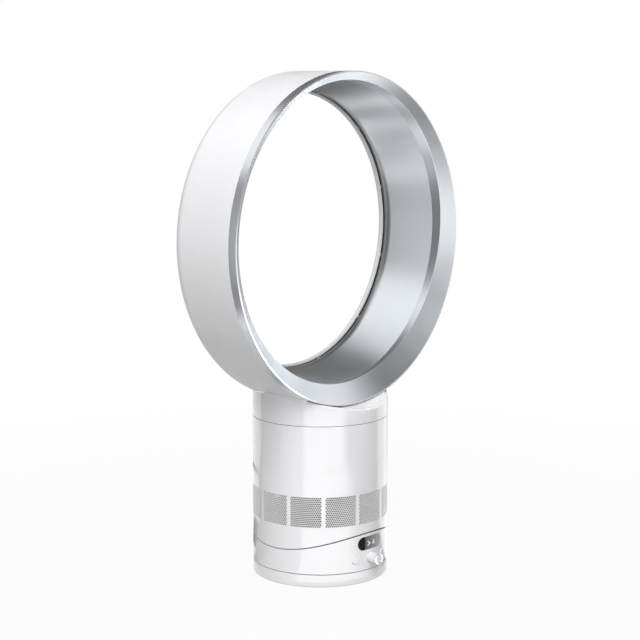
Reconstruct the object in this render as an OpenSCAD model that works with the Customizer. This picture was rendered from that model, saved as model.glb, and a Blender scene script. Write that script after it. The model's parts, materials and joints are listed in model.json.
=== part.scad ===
// Bladeless desk fan: a ring nozzle on a cylindrical body, which tilts on an oscillating control base.
// The front is -Y. The origin is on the surface that the fan stands on, under the body's centre.

/* [Body] */
// Outside diameter of the body, the control base and the foot
body_d = 148; // [144:0.5:156]
// Wall of the white casings
wall = 2.5; // [2.2:0.1:2.8]
// Height of the seam between the body and the ring's neck
neck_seam_h = 176.2; // [175:0.2:182]
// Width of the fixed seam at the neck
neck_seam_gap = 0.6; // [0.2:0.1:1]
// Width of the seams between parts that move
moving_seam = 0.8; // [0.6:0.1:1.2]
// Free play between turning or sliding faces
run_gap = 0.2; // [0.1:0.05:0.3]
// Radial play of a shaft in its bore
shaft_play = 0.05; // [0.02:0.01:0.09]

/* [Foot] */
// Height of the seam between the foot and the control base
foot_h = 14.8; // [14.4:0.1:16.5]
// Thickness of the foot's floor
foot_floor_t = 3; // [2.8:0.1:3.2]
// How far the foot's underside stands above the surface
foot_lift = 1; // [0.6:0.1:1.4]
// Edge radius round the foot's underside
foot_edge_r = 1.6; // [1:0.1:2.4]
// How far the middle of the rubber foot ring lies inside the body's outside
pad_inset = 14; // [11:0.5:18]
// Width of the rubber foot ring
pad_w = 12; // [8:0.5:14]
// Depth of the groove that holds the rubber foot ring
pad_groove = 1.6; // [1:0.1:2]
// Radius of the pivot post
post_r = 16; // [15:0.5:17]
// Radius of the wiring bore through the pivot post
post_bore_r = 8; // [6:0.5:9]
// How far the middle of the slide ring lies inside the body's outside
slide_inset = 12; // [11:0.5:14]
// Width of the slide ring
slide_w = 4; // [3:0.5:5]
// Thickness of the slide ring
slide_t = 2.2; // [2:0.1:2.6]
// Depth of the slide ring's groove
slide_groove = 1; // [0.6:0.1:1.2]

/* [Cable gland] */
// Bore of the cable gland at the back of the foot
gland_bore_d = 4.4; // [4:0.1:5]
// Outside diameter of the gland's sleeve
gland_d = 6.8; // [6.4:0.1:7.2]
// Diameter of the gland's flange
gland_flange_d = 9.2; // [8.6:0.1:9.4]
// Thickness of the gland's flange
gland_flange_t = 1.5; // [1:0.1:2]
// Length of the gland's sleeve
gland_l = 10; // [8:0.5:11]
// Height of the gland's axis
gland_h = 8.6; // [8.4:0.1:8.8]

/* [Oscillation drive] */
// Module of the gear teeth
gear_m = 1.25; // [1.2:0.01:1.3]
// Teeth on the fixed gear
gear_teeth = 48; // [48:1:50]
// Teeth on the pinion
pinion_teeth = 16; // [15:1:17]
// Thickness of the fixed gear
gear_t = 4; // [3.6:0.1:4.4]
// Thickness of the pinion
pinion_t = 3; // [2.4:0.1:3.4]
// Backlash of each tooth, as an angle in degrees at the pitch circle of the pinion
pinion_backlash = 1.6; // [1.2:0.1:2]
// Radius of the pinion's shaft
pinion_shaft_r = 2.5; // [2:0.1:3]
// Radius of the oscillation motor's can
osc_motor_r = 13; // [11:0.5:14]
// Height of the oscillation motor's can
osc_motor_h = 13.6; // [11:0.2:14.5]

/* [Control base] */
// Thickness of the turntable plate
turntable_t = 3; // [2.8:0.1:3.4]
// Height of the hub above the turntable plate
hub_rise = 3; // [2:0.2:4]
// Wall of the turntable's hub
hub_wall = 4; // [3:0.2:5]
// Thickness of the pivot washer
washer_t = 2; // [1.6:0.1:2.4]
// Height of the clamping ledges inside the casings
ledge_h = 3; // [2:0.2:3.4]
// Depth of the clamping ledges inside the casings
ledge_w = 3; // [2.4:0.2:3.4]
// How far each base screw lies inside the casing's wall, along X and along Y
base_screw_inset = 26.5; // [25.5:0.5:28.5]
// Diameter of the posts that hold the base screws
base_post_d = 8; // [7:0.2:9]
// Diameter of the base screws
base_screw_d = 3; // [2.6:0.1:3.4]
// Length of the base screws under the head
base_screw_l = 12; // [9:0.5:15]
// Thickness of the printed circuit boards
board_t = 1.6; // [1.2:0.1:2]

/* [Tilt] */
// Height of the curved tilt seam at its middle
tilt_seam_h = 40; // [39.6:0.1:42]
// Radius of the curved tilt seam, about the tilt axis
tilt_r = 178; // [174:0.5:186]
// Largest tilt either way, in degrees
tilt_max = 10; // [8:0.5:10.5]
// Thickness of the curved saddle plate
saddle_t = 3; // [2.6:0.1:3.2]
// Thickness of the curved carriage plate
carriage_t = 4; // [3.8:0.1:4.4]
// Width of the runner's stem in the saddle's slot
runner_w = 15.4; // [12:0.2:18]
// Length of the runner's stem along the slot
runner_l = 20; // [18:0.5:22]
// Width of the runner's flange under the saddle
runner_flange_w = 32; // [28:1:36]
// Thickness of the runner's flange
runner_flange_t = 2.5; // [2:0.1:2.8]

/* [Controls] */
// Width of the display window
display_w = 37.4; // [34:0.2:39]
// Height of the display window
display_h = 14.7; // [13:0.1:15]
// Height of the display window's centre
display_z = 44.5; // [44:0.1:45]
// Thickness of the display window
display_t = 2; // [1.6:0.1:2.2]
// Height of the knob's and the buttons' axes
controls_z = 28; // [27.5:0.1:28.5]
// Diameter of the speed knob
knob_d = 12; // [10:0.2:13]
// How far the speed knob stands out of the casing
knob_out = 12; // [9:0.5:14]
// Diameter of the encoder's shaft
encoder_shaft_d = 6; // [5:0.2:6.4]
// Distance from the middle to each push button
button_x = 22; // [20:0.2:23]
// Diameter of the push buttons
button_d = 8; // [7:0.2:9]
// How far the push buttons stand out of the casing
button_out = 1.2; // [0.9:0.1:2]
// Travel of the push buttons
button_travel = 0.8; // [0.4:0.1:1]
// How far the front of the control board lies inside the body's outside
board_inset = 14.4; // [14:0.1:15]

/* [Intake grille] */
// Height of the lower edge of the grille
grille_z = 66.7; // [65:0.2:68]
// Height of the grille panels
grille_h = 33; // [30:0.5:34]
// Number of grille panels
grille_panels = 12; // [11:1:13]
// Width of the plain strip between two panels
grille_gap = 3.6; // [3:0.1:5]
// Thickness of the grille panels
grille_t = 1.2; // [1:0.1:1.6]
// Spacing of the intake holes
hole_pitch = 4.1; // [3.8:0.1:5]
// Diameter of the intake holes
hole_d = 2.8; // [2:0.1:3]

/* [Air mover] */
// Height of the ledge that carries the air mover
mover_z = 107; // [106:0.2:108]
// Thickness of the isolation seal
seal_t = 4; // [3:0.2:5]
// How far the inside of the housing's outlet duct lies inside the casing's wall
duct_inset = 11.5; // [10.5:0.1:12.5]
// Inside radius of the housing's inlet
inlet_r = 40; // [38:0.5:41]
// Wall of the air mover's housings
housing_wall = 2; // [1.6:0.1:2.2]
// Outside radius of the motor bucket
bucket_r = 38; // [37:0.2:39]
// Number of impeller blades
blades = 9; // [7:1:11]
// Number of diffuser vanes
vanes = 11; // [9:1:13]
// Thickness of the blades
blade_t = 1.4; // [1.2:0.1:1.8]
// Gap between the blade tips and the housing
tip_gap = 0.8; // [0.6:0.1:1.2]
// Radius of the motor shaft
shaft_r = 3; // [2.5:0.1:3.5]
// Outside radius of the bearings
bearing_r = 8; // [7.4:0.1:8.6]
// Height of the bearings
bearing_h = 5; // [4:0.2:5.4]
// Number of stator teeth
stator_teeth = 9; // [9:1:10]
// Outside radius of the rotor magnet
magnet_r = 15.5; // [14:0.1:15.6]

/* [Ring] */
// Outside diameter of the ring
ring_d = 355; // [345:1:365]
// Height of the ring's lowest point above the neck's seam
ring_rise = 16.3; // [15:0.1:19]
// How much higher the inner casing's axis is than the ring's axis
ring_offset = 6; // [5:0.1:6.4]
// Distance from the body's axis to the ring's front rim
rim_y = 49; // [47:0.2:50]
// Width of the silver band at the front of the ring's outside
band_w = 10.6; // [9:0.2:12]
// Distance from the body's axis to the ring's back
back_y = 45.5; // [44:0.2:47]
// Edge radius round the ring's back
back_edge_r = 16; // [14:0.2:18]
// Width of the flat front rim
rim_w = 0.8; // [0.5:0.1:1.2]
// Slope of the recessed front face, as depth over width
face_slope = 0.82; // [0.7:0.01:0.9]
// How far the step inside the front face lies inside the ring's outside
step_inset = 15.3; // [14.6:0.1:15.7]
// Distance from the body's axis to the back of that step
step_y = 26; // [25:0.2:27]
// Width of the ledge between the step and the diffuser surface
diffuser_ledge = 1; // [0.6:0.1:1.4]
// How far the diffuser surface closes in from its front to the throat
throat_in = 10.1; // [9.8:0.1:10.4]
// Distance from the body's axis to the throat
throat_y = 29.9; // [29:0.1:30.5]
// Radius of the curved lip surface behind the throat
coanda_r = 20; // [19:0.5:22]
// Angle that the curved lip surface turns through behind the throat
coanda_end = 32; // [28:1:34]
// How far the back lip stands in from the throat
lip_in = 2.1; // [1.9:0.1:2.3]
// Length of the back lip
lip_l = 1.4; // [1:0.1:1.8]
// Radius of the back lip's rounding
lip_edge_r = 6; // [5.6:0.1:6.4]
// Wall of the ring's casings
ring_wall = 2.5; // [2.3:0.1:2.7]
// Gap between the front band and the top of the neck
neck_shadow_gap = 0.8; // [0.4:0.1:1.2]
// How far the neck's top stands up behind the ring
neck_back_rise = 5.5; // [4:0.1:6.5]
// Number of spacers in the air slot
spacers = 12; // [8:1:16]
// Width of the spacers in the air slot
spacer_w = 4; // [3:0.5:6]
// Thickness of the spacers in the air slot
spacer_t = 1.6; // [1.4:0.1:1.8]

/* [Hidden] */
$fn = 96;
// Small overlap that keeps cutters from sharing a face with what they cut
eps = 0.01;
// A length past every outside face of the fan
far = 400;

// Casings
body_r = body_d / 2;
inner_r = body_r - wall;
// Parts that lie inside a casing without touching its wall
inside_r = inner_r - run_gap;
pad_r = body_r - pad_inset;
slide_r = body_r - slide_inset;
base_screw_xy = inner_r - base_screw_inset;
board_y = body_r - board_inset;
duct_r = inner_r - duct_inset;

// Foot levels
floor_top = foot_lift + foot_floor_t;
foot_top = foot_h - moving_seam / 2;
slide_bottom = foot_h + moving_seam / 2 - slide_t;
rib_top = slide_bottom + slide_groove;
rib_w = slide_w + 4;

// Control base levels
base_bottom = foot_h + moving_seam / 2;
turntable_top = base_bottom + turntable_t;
hub_top = turntable_top + hub_rise;
post_top = hub_top + run_gap / 2;
hub_r = post_r + hub_wall;
washer_r = hub_r + 1;
base_screw_r = base_screw_d / 2;
base_head_r = base_screw_r + 1.3;
base_head_t = 1.6;
pivot_screw_r = 1.25;
pivot_screw_l = 6;

// Boards, connector, encoder and switches of the control base
display_board_w = 30;
display_board_l = 10.5;
connector_w = 16;
connector_t = 3;
control_board_w = 54;
control_board_l = 25;
bracket_t = 2;
bracket_foot_w = 8;
encoder_w = 13;
encoder_l = 7.4;
switch_w = 6;
switch_l = 3.5;
switch_bore_r = 1.7;
power_board_w = 62;
power_board_l = 28;
power_board_y = inner_r - 12.5;
power_board_lift = 4;
power_post_r = 3;
power_post_in = 5;
power_post_x = power_board_w / 2 - power_post_in;
supply_block = [16, 14, 7];
supply_block_in = 7;
capacitor_r = 4;
capacitor_l = 8;
capacitor_in = 13;
capacitor_step = 10;

// Tilt axis, and the tilt surfaces as distances from it
tilt_h = tilt_seam_h + tilt_r;
carriage_out = tilt_r - moving_seam / 2;
carriage_in = carriage_out - carriage_t;
saddle_in = tilt_r + moving_seam / 2;
saddle_out = saddle_in + saddle_t;
runner_in = saddle_out + run_gap + 0.3;
runner_out = runner_in + runner_flange_t;
slot_l = 2 * (saddle_out * sin(tilt_max) + runner_l / 2 + 2);
slot_w = runner_w + 0.6;

// Screws of the carriage and of the runner, and the wiring bore between them
screw_head_t = 1.5;
carriage_screw_r = 1.5;
carriage_screw_l = 8;
carriage_head_r = 2.7;
carriage_screw_xy = (inner_r - 3.7) / sqrt(2);
carriage_head_z = tilt_h - sqrt(pow(carriage_out, 2) - pow(carriage_screw_xy + 3, 2)) + 0.1;
runner_screw_r = 1.25;
runner_screw_l = 9;
runner_head_r = 2.4;
runner_screw_y = 6.5;
runner_bore_r = 3;

// Pinion and its motor stand beside the fixed gear, towards +X
gear_r = gear_m * gear_teeth / 2;
pinion_r = gear_m * pinion_teeth / 2;
pinion_x = gear_r + pinion_r;
pinion_z = floor_top + 0.5;

// Grille
panel_angle = 360 / grille_panels - grille_gap / (PI * body_d) * 360;

// Air mover levels
housing_flange_z = mover_z + seal_t;
inlet_z = mover_z - 34;
housing_top = neck_seam_h - 18;
neck_ledge_z = neck_seam_h - 10;
bucket_z = housing_flange_z + 2;
bucket_floor_t = 3;
bucket_split = bucket_z + 27;
stator_z = bucket_z + 10;
stator_h = 14;
stator_r = bucket_r - housing_wall;
pole_r = magnet_r + 0.5;
hub_bottom = mover_z - 22;
hub_top_z = housing_flange_z;

// Ring
ring_r = ring_d / 2;
ring_h = neck_seam_h + ring_rise + ring_r;
inner_h = ring_h + ring_offset;
step_r = ring_r - step_inset;
diffuser_front_r = step_r - diffuser_ledge;
throat_r = diffuser_front_r - throat_in;
lip_r = throat_r - lip_in;
shell_front_y = -rim_y + band_w;
lip_y = back_y - lip_edge_r - lip_l;
saddle_top_r = ring_r + neck_shadow_gap;
neck_top_in = saddle_top_r + ring_wall;
neck_back_r = ring_r - neck_back_rise;
neck_bottom = neck_seam_h + neck_seam_gap / 2;
neck_duct_top = ring_h - ring_r + 22;
// Where the ring's outer wall meets its rounded rear shell
back_seam_y = back_y - back_edge_r;
// Thickness of the welds between the neck, the ring's outer wall and its rear shell
weld_gap = 0.05;

// A ring about the Z axis
module tube(r_out, r_in, z0, z1) {
    translate([0, 0, z0]) difference() {
        cylinder(r = r_out, h = z1 - z0);
        translate([0, 0, -eps]) cylinder(r = r_in, h = z1 - z0 + 2 * eps);
    }
}

// A solid cylinder about the tilt axis, along X
module tilt_cylinder(r) {
    translate([0, 0, tilt_h]) rotate([0, 90, 0]) cylinder(r = r, h = far, center = true, $fn = 360);
}

// The lower half of a curved plate between two radii about the tilt axis, cut to a round outline
module tilt_plate(r_in, r_out, outline_r) {
    intersection() {
        difference() {
            cylinder(r = outline_r, h = tilt_h / 2);
            tilt_cylinder(r_in);
        }
        tilt_cylinder(r_out);
    }
}

// Copies a child to four places at equal X and Y distances
module four(d) {
    for (sx = [-1, 1], sy = [-1, 1]) translate([sx * d, sy * d, 0]) children();
}

// Copies a child to the three pivot screws in the end of the post
module pivot_screw_places() {
    for (a = [30, 150, 270]) rotate([0, 0, a]) translate([post_r - 4, 0, 0]) children();
}

// A cylinder along Y from y0 to y1, at a height z and an offset x
module y_cylinder(r, y0, y1, x = 0, z = 0) {
    translate([x, y0, z]) rotate([-90, 0, 0]) cylinder(r = r, h = y1 - y0);
}

// Turns a profile of radius and depth about a level axis along Y at a given height
module turn_about_y(h) {
    translate([0, 0, h]) rotate([-90, 0, 0]) rotate_extrude($fn = 240) children();
}

// Involute tooth flank: the half angle of a tooth at a radius
function involute_angle(r, base) = sqrt(pow(r / base, 2) - 1) * 180 / PI - acos(base / r);
function half_tooth(r, pitch, base, teeth, slack) =
    90 / teeth - slack / 2 + involute_angle(pitch, base) - involute_angle(max(r, base), base);

// A spur gear outline with its first tooth on +X
module gear_outline(teeth, slack) {
    pitch = gear_m * teeth / 2;
    base = pitch * cos(20);
    root = pitch - 1.25 * gear_m;
    tip = pitch + gear_m;
    radii = [root, max(root + 0.1, base), pitch, (pitch + tip) / 2, tip];
    points = [for (k = [0 : teeth - 1], side = [-1, 1], i = [0 : len(radii) - 1])
        let (r = side < 0 ? radii[i] : radii[len(radii) - 1 - i],
             a = 360 * k / teeth + side * half_tooth(r, pitch, base, teeth, slack))
        [r * cos(a), r * sin(a)]];
    polygon(points);
}

// Points along an arc about a centre, from one angle to another
function arc_points(centre, r, from, to, steps = 20) = [for (i = [0 : steps])
    let (a = from + (to - from) * i / steps) centre - r * [cos(a), sin(a)]];

module foot_shell() {
    color("white") difference() {
        union() {
            rotate_extrude() difference() {
                union() {
                    translate([0, foot_lift + foot_edge_r])
                        square([body_r, foot_top - foot_lift - foot_edge_r]);
                    translate([0, foot_lift]) square([body_r - foot_edge_r, foot_edge_r + eps]);
                    translate([body_r - foot_edge_r, foot_lift + foot_edge_r]) circle(r = foot_edge_r);
                }
                translate([-1, floor_top]) square([inner_r + 1, foot_h]);
            }
            tube(slide_r + rib_w / 2, slide_r - rib_w / 2, floor_top - eps, rib_top);
            translate([0, 0, floor_top - eps]) cylinder(r = post_r, h = post_top - floor_top + eps);
            intersection() {
                translate([-9, slide_r, floor_top - eps])
                    cube([18, body_r - slide_r, foot_top - floor_top]);
                cylinder(r = body_r - wall / 2, h = foot_h);
            }
        }
        tube(pad_r + pad_w / 2, pad_r - pad_w / 2, foot_lift - 1, foot_lift + pad_groove);
        tube(slide_r + slide_w / 2, slide_r - slide_w / 2, slide_bottom, foot_h + 2);
        translate([0, 0, floor_top]) cylinder(r = post_bore_r, h = foot_h * 2);
        translate([0, 0, floor_top + gear_t + 0.5]) translate([-4, 0, 0]) cube([8, post_r + 2, 5]);
        y_cylinder(gland_d / 2, slide_r - rib_w, body_r + 1, 0, gland_h);
        y_cylinder(gland_flange_d / 2, body_r - gland_flange_t, body_r + 1, 0, gland_h);
        pivot_screw_places() translate([0, 0, post_top - 9]) cylinder(r = pivot_screw_r, h = 20);
    }
}

module foot_pad() {
    color("dimgray") tube(pad_r + pad_w / 2, pad_r - pad_w / 2, 0, foot_lift + pad_groove);
}

module cable_gland() {
    flange_y = body_r - gland_flange_t;
    color("lightgray") difference() {
        union() {
            y_cylinder(gland_d / 2, flange_y - gland_l, flange_y + eps, 0, gland_h);
            y_cylinder(gland_flange_d / 2, flange_y, body_r, 0, gland_h);
        }
        y_cylinder(gland_bore_d / 2, flange_y - gland_l - 1, body_r + 1, 0, gland_h);
    }
}

module fixed_gear() {
    color("lightgray") translate([0, 0, floor_top]) linear_extrude(gear_t) difference() {
        gear_outline(gear_teeth, pinion_backlash * pinion_teeth / gear_teeth);
        circle(r = post_r);
    }
}

module slide_ring() {
    color("ivory") tube(slide_r + slide_w / 2, slide_r - slide_w / 2, slide_bottom, base_bottom);
}

module pivot_washer() {
    color("silver") difference() {
        tube(washer_r, post_bore_r, post_top, post_top + washer_t);
        pivot_screw_places() translate([0, 0, post_top - 1]) cylinder(r = pivot_screw_r, h = washer_t + 2);
    }
}

module pivot_screws() {
    color("gray") pivot_screw_places() {
        translate([0, 0, post_top - pivot_screw_l])
            cylinder(r = pivot_screw_r, h = pivot_screw_l + washer_t + eps);
        translate([0, 0, post_top + washer_t]) cylinder(r = 2 * pivot_screw_r, h = 1.6);
    }
}

module turntable() {
    color("gainsboro") difference() {
        union() {
            translate([0, 0, base_bottom]) cylinder(r = inside_r, h = turntable_t);
            translate([0, 0, turntable_top - eps]) cylinder(r = hub_r, h = hub_rise + eps);
            for (sx = [-1, 1], in = [power_post_in, power_board_l - power_post_in])
                translate([sx * power_post_x, power_board_y - in, turntable_top - eps])
                    cylinder(r = power_post_r, h = power_board_lift + eps);
        }
        translate([0, 0, base_bottom - 1]) cylinder(r = post_r + shaft_play, h = hub_rise + 10);
        translate([pinion_x, 0, base_bottom - 1]) cylinder(r = pinion_shaft_r + 1, h = 10);
        four(base_screw_xy) {
            translate([0, 0, base_bottom - 1]) cylinder(r = base_screw_r, h = turntable_t + 2);
            translate([0, 0, base_bottom - 1]) cylinder(r = base_head_r, h = base_head_t + 1.2);
        }
    }
}

// The pill-shaped outline of the display, as a cutter along -Y
module pill(grow) {
    r = display_h / 2 + grow;
    half = (display_w - display_h) / 2;
    for (s = [-1, 1]) y_cylinder(r, -body_r - 5, -inner_r + 10, s * half, display_z);
    translate([-half, -body_r - 5, display_z - r]) cube([2 * half, wall + 15, 2 * r]);
}

module control_casing() {
    color("white") difference() {
        union() {
            difference() {
                tube(body_r, inner_r, base_bottom, tilt_h / 2);
                tilt_cylinder(saddle_in);
            }
            tube(inner_r + eps, inner_r - ledge_w, turntable_top, turntable_top + ledge_h);
            difference() {
                intersection() {
                    tube(inner_r + eps, inner_r - ledge_w, turntable_top, tilt_h / 2);
                    tilt_cylinder(saddle_out + ledge_h);
                }
                tilt_cylinder(saddle_out);
                // The upper ledge leaves room behind the display
                translate([-display_w / 2 - 2, -body_r, controls_z])
                    cube([display_w + 4, body_r / 2, tilt_h]);
            }
        }
        pill(0);
        y_cylinder(knob_d / 2 + 0.3, -body_r - 5, -inner_r + 10, 0, controls_z);
        for (s = [-1, 1])
            y_cylinder(button_d / 2 + run_gap, -body_r - 5, -inner_r + 10, s * button_x, controls_z);
    }
}

module tilt_saddle() {
    color("gainsboro") difference() {
        union() {
            tilt_plate(saddle_in, saddle_out, inside_r);
            difference() {
                four(base_screw_xy) translate([0, 0, turntable_top])
                    cylinder(d = base_post_d, h = tilt_seam_h);
                tilt_cylinder(saddle_out - 1);
            }
        }
        translate([-slot_w / 2, -slot_l / 2, 0]) cube([slot_w, slot_l, 2 * tilt_seam_h]);
        four(base_screw_xy) translate([0, 0, turntable_top - 1])
            cylinder(r = base_screw_r, h = base_screw_l + 1);
    }
}

module base_screws() {
    color("gray") four(base_screw_xy) {
        translate([0, 0, base_bottom + 0.2]) cylinder(r = base_head_r - 0.1, h = base_head_t);
        translate([0, 0, base_bottom + base_head_t]) cylinder(r = base_screw_r, h = base_screw_l);
    }
}

module display_window() {
    color("black") intersection() {
        tube(body_r, body_r - display_t, 0, display_z + display_h);
        pill(-0.1);
    }
}

module display_board() {
    front = inner_r - 1.7;
    connector_l = front - board_t - board_y;
    color("darkgreen") {
        translate([-display_board_w / 2, -front, display_z - 6.5])
            cube([display_board_w, board_t, display_board_l]);
        translate([-connector_w / 2, -front + board_t - eps, display_z - connector_t])
            cube([connector_w, connector_l + eps, connector_t]);
    }
}

module control_board() {
    color("green") translate([-control_board_w / 2, -board_y, turntable_top + 0.8])
        cube([control_board_w, board_t, control_board_l]);
}

module board_bracket() {
    w = control_board_w + 2;
    color("gainsboro") translate([-w / 2, -board_y + board_t, turntable_top]) {
        cube([w, bracket_t, control_board_l]);
        translate([0, bracket_t - eps, 0]) cube([w, bracket_foot_w, bracket_t]);
    }
}

module speed_encoder() {
    bore_r = encoder_shaft_d / 2 + shaft_play;
    color("dimgray") difference() {
        translate([-encoder_w / 2, -board_y - encoder_l, controls_z - encoder_w / 2])
            cube([encoder_w, encoder_l, encoder_w]);
        y_cylinder(bore_r, -board_y - encoder_l - 1, -board_y - 1.4, 0, controls_z);
    }
}

module button_switches() {
    color("black") for (s = [-1, 1]) difference() {
        translate([s * button_x - switch_w / 2, -board_y - switch_l, controls_z - switch_w / 2])
            cube([switch_w, switch_l, switch_w]);
        y_cylinder(switch_bore_r, -board_y - switch_l - 1, -board_y - 0.5, s * button_x, controls_z);
    }
}

module power_board() {
    translate([-power_board_w / 2, power_board_y - power_board_l, turntable_top + power_board_lift]) {
        color("green") cube([power_board_w, power_board_l, board_t]);
        color("dimgray") translate([supply_block_in, power_post_in, board_t - eps]) cube(supply_block);
        color("black") for (k = [0 : 2])
            translate([power_board_w / 2 + 2 + k * capacitor_step, capacitor_in, board_t - eps])
                cylinder(r = capacitor_r, h = capacitor_l);
    }
}

module oscillation_motor() {
    color("silver") difference() {
        union() {
            translate([pinion_x, 0, turntable_top]) cylinder(r = osc_motor_r, h = osc_motor_h);
            for (s = [-1, 1]) translate([pinion_x - 3.5, s * osc_motor_r - 3.5, turntable_top])
                cube([7, 7, 1.2]);
        }
        translate([pinion_x, 0, turntable_top - 1])
            cylinder(r = pinion_shaft_r + shaft_play, h = osc_motor_h - 1);
    }
}

module oscillation_pinion() {
    color("ivory") translate([pinion_x, 0, pinion_z]) {
        rotate([0, 0, 180 * (1 + 1 / pinion_teeth)]) linear_extrude(pinion_t)
            gear_outline(pinion_teeth, pinion_backlash);
        translate([0, 0, pinion_t - eps])
            cylinder(r = pinion_shaft_r, h = turntable_top + osc_motor_h - 4 - pinion_z - pinion_t);
    }
}

module speed_knob() {
    front = -body_r - knob_out;
    core_r = knob_d / 2 - 1.2;
    color("white") difference() {
        union() {
            y_cylinder(knob_d / 2, front + 1.2, -inner_r + 2.5, 0, controls_z);
            y_cylinder(core_r, front, front + 1.2 + eps, 0, controls_z);
        }
        y_cylinder(encoder_shaft_d / 2, front + 2, -inner_r + 3, 0, controls_z);
    }
}

module knob_ring() {
    front = -body_r - knob_out - 0.4;
    core_r = knob_d / 2 - 1.2;
    color("silver") difference() {
        y_cylinder(knob_d / 2 + 0.2, front, front + 1.6, 0, controls_z);
        y_cylinder(core_r, front - 1, front + 2, 0, controls_z);
    }
}

module encoder_shaft() {
    color("silver") y_cylinder(encoder_shaft_d / 2, -body_r - knob_out + 2, -board_y - 1.8, 0, controls_z);
}

// A push button cap with its retaining flange and plunger
module push_button(side) {
    flange_y = -sqrt(pow(inner_r, 2) - pow(button_x + button_d / 2 + 1, 2)) + run_gap;
    plunger_y = -board_y - 0.6 - button_travel;
    intersection() {
        union() {
            y_cylinder(button_d / 2, -body_r - 3, flange_y + eps, side * button_x, controls_z);
            y_cylinder(button_d / 2 + 1, flange_y, flange_y + 1, side * button_x, controls_z);
            y_cylinder(1.5, flange_y + 1 - eps, plunger_y, side * button_x, controls_z);
        }
        cylinder(r = body_r + button_out, h = 60);
    }
}

module power_button() {
    color("white") push_button(-1);
}

module oscillation_button() {
    color("white") push_button(1);
}

module tilt_carriage() {
    color("gainsboro") difference() {
        tilt_plate(carriage_in, carriage_out, inside_r);
        translate([0, 0, 30]) cylinder(r = runner_bore_r, h = 30);
        for (y = [-runner_screw_y, runner_screw_y]) translate([0, y, 30])
            cylinder(r = runner_screw_r, h = 30);
        four(carriage_screw_xy) {
            cylinder(r = carriage_screw_r, h = grille_z);
            cylinder(r = carriage_head_r + 0.1, h = carriage_head_z + screw_head_t);
        }
    }
}

module carriage_screws() {
    color("gray") four(carriage_screw_xy) translate([0, 0, carriage_head_z]) {
        cylinder(r = carriage_head_r, h = screw_head_t);
        translate([0, 0, screw_head_t - eps]) cylinder(r = carriage_screw_r, h = carriage_screw_l);
    }
}

module tilt_runner() {
    color("ivory") difference() {
        union() {
            intersection() {
                difference() {
                    translate([-runner_w / 2, -runner_l / 2, 0]) cube([runner_w, runner_l, 60]);
                    tilt_cylinder(carriage_out);
                }
                tilt_cylinder(runner_in + 0.5);
            }
            intersection() {
                difference() {
                    translate([-runner_flange_w / 2, -runner_l / 2 - 4, 0])
                        cube([runner_flange_w, runner_l + 8, 60]);
                    tilt_cylinder(runner_in);
                }
                tilt_cylinder(runner_out);
            }
        }
        cylinder(r = runner_bore_r, h = 60);
        for (y = [-runner_screw_y, runner_screw_y]) translate([0, y, 0]) {
            cylinder(r = runner_screw_r, h = 60);
            cylinder(r = runner_head_r + 0.1, h = tilt_h - runner_out + 0.3 + screw_head_t);
        }
    }
}

module runner_screws() {
    color("gray") for (y = [-runner_screw_y, runner_screw_y])
        translate([0, y, tilt_h - runner_out + 0.3]) {
            cylinder(r = runner_head_r, h = screw_head_t);
            translate([0, 0, screw_head_t - eps]) cylinder(r = runner_screw_r, h = runner_screw_l);
        }
}

module body_shell() {
    color("white") difference() {
        union() {
            intersection() {
                tube(body_r, inner_r, 20, neck_seam_h - neck_seam_gap / 2);
                union() {
                    tilt_cylinder(carriage_out);
                    translate([0, 0, grille_z]) cylinder(r = far, h = far);
                }
            }
            intersection() {
                difference() {
                    tube(inner_r + eps, inner_r - ledge_w, 20, grille_z);
                    tilt_cylinder(carriage_in - ledge_h);
                }
                tilt_cylinder(carriage_in);
            }
            intersection() {
                four(carriage_screw_xy) translate([0, 0, 20]) cylinder(r = 4, h = grille_z - 25);
                tilt_cylinder(carriage_in);
            }
            tube(inner_r + eps, inner_r - 8.5, mover_z - 3, mover_z);
            tube(inner_r + eps, inner_r - 5.5, neck_ledge_z - 2, neck_ledge_z);
        }
        for (k = [0 : grille_panels - 1]) rotate([0, 0, -90 + 360 * k / grille_panels])
            panel_sector(inner_r - 1, body_r + 1, grille_z, grille_h, panel_angle / 2);
        four(carriage_screw_xy) cylinder(r = carriage_screw_r, h = grille_z - 7);
    }
}

// A block that spans a sector of a tube wall, centred on +X
module panel_sector(r_in, r_out, z, h, half_angle) {
    x_in = r_in * cos(half_angle);
    translate([0, 0, z]) linear_extrude(h) polygon([
        [x_in, -x_in * tan(half_angle)], [r_out, -r_out * tan(half_angle)],
        [r_out, r_out * tan(half_angle)], [x_in, x_in * tan(half_angle)]]);
}

module intake_grille() {
    rows = floor((grille_h - hole_d) / (hole_pitch * 0.866));
    row_step = (grille_h - hole_d - 1.2) / rows;
    pitch_angle = hole_pitch / body_r * 180 / PI;
    columns = floor((panel_angle - (hole_d + 1) / body_r * 180 / PI) / pitch_angle);
    color("lightgray") for (k = [0 : grille_panels - 1]) rotate([0, 0, -90 + 360 * k / grille_panels])
        difference() {
            intersection() {
                tube(body_r, body_r - grille_t, grille_z, grille_z + grille_h);
                panel_sector(inner_r - 1, body_r + 1, grille_z - 1, grille_h + 2, panel_angle / 2);
            }
            for (row = [0 : rows], col = [0 : columns - row % 2])
                rotate([0, 0, (col - (columns - row % 2) / 2) * pitch_angle])
                    translate([body_r - 5, 0, grille_z + hole_d / 2 + 0.6 + row * row_step])
                        rotate([0, 90, 0]) cylinder(d = hole_d, h = 10, $fn = 16);
        }
}

module lower_foam() {
    color("dimgray") difference() {
        intersection() {
            translate([0, 0, 30]) cylinder(r = duct_r - 1, h = grille_z - 33);
            tilt_cylinder(carriage_in);
        }
        translate([0, 0, 30]) cylinder(r = 12, h = 24);
    }
}

module isolation_seal() {
    color("dimgray") tube(inner_r - 1, inner_r - 7.5, mover_z, housing_flange_z);
}

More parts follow.
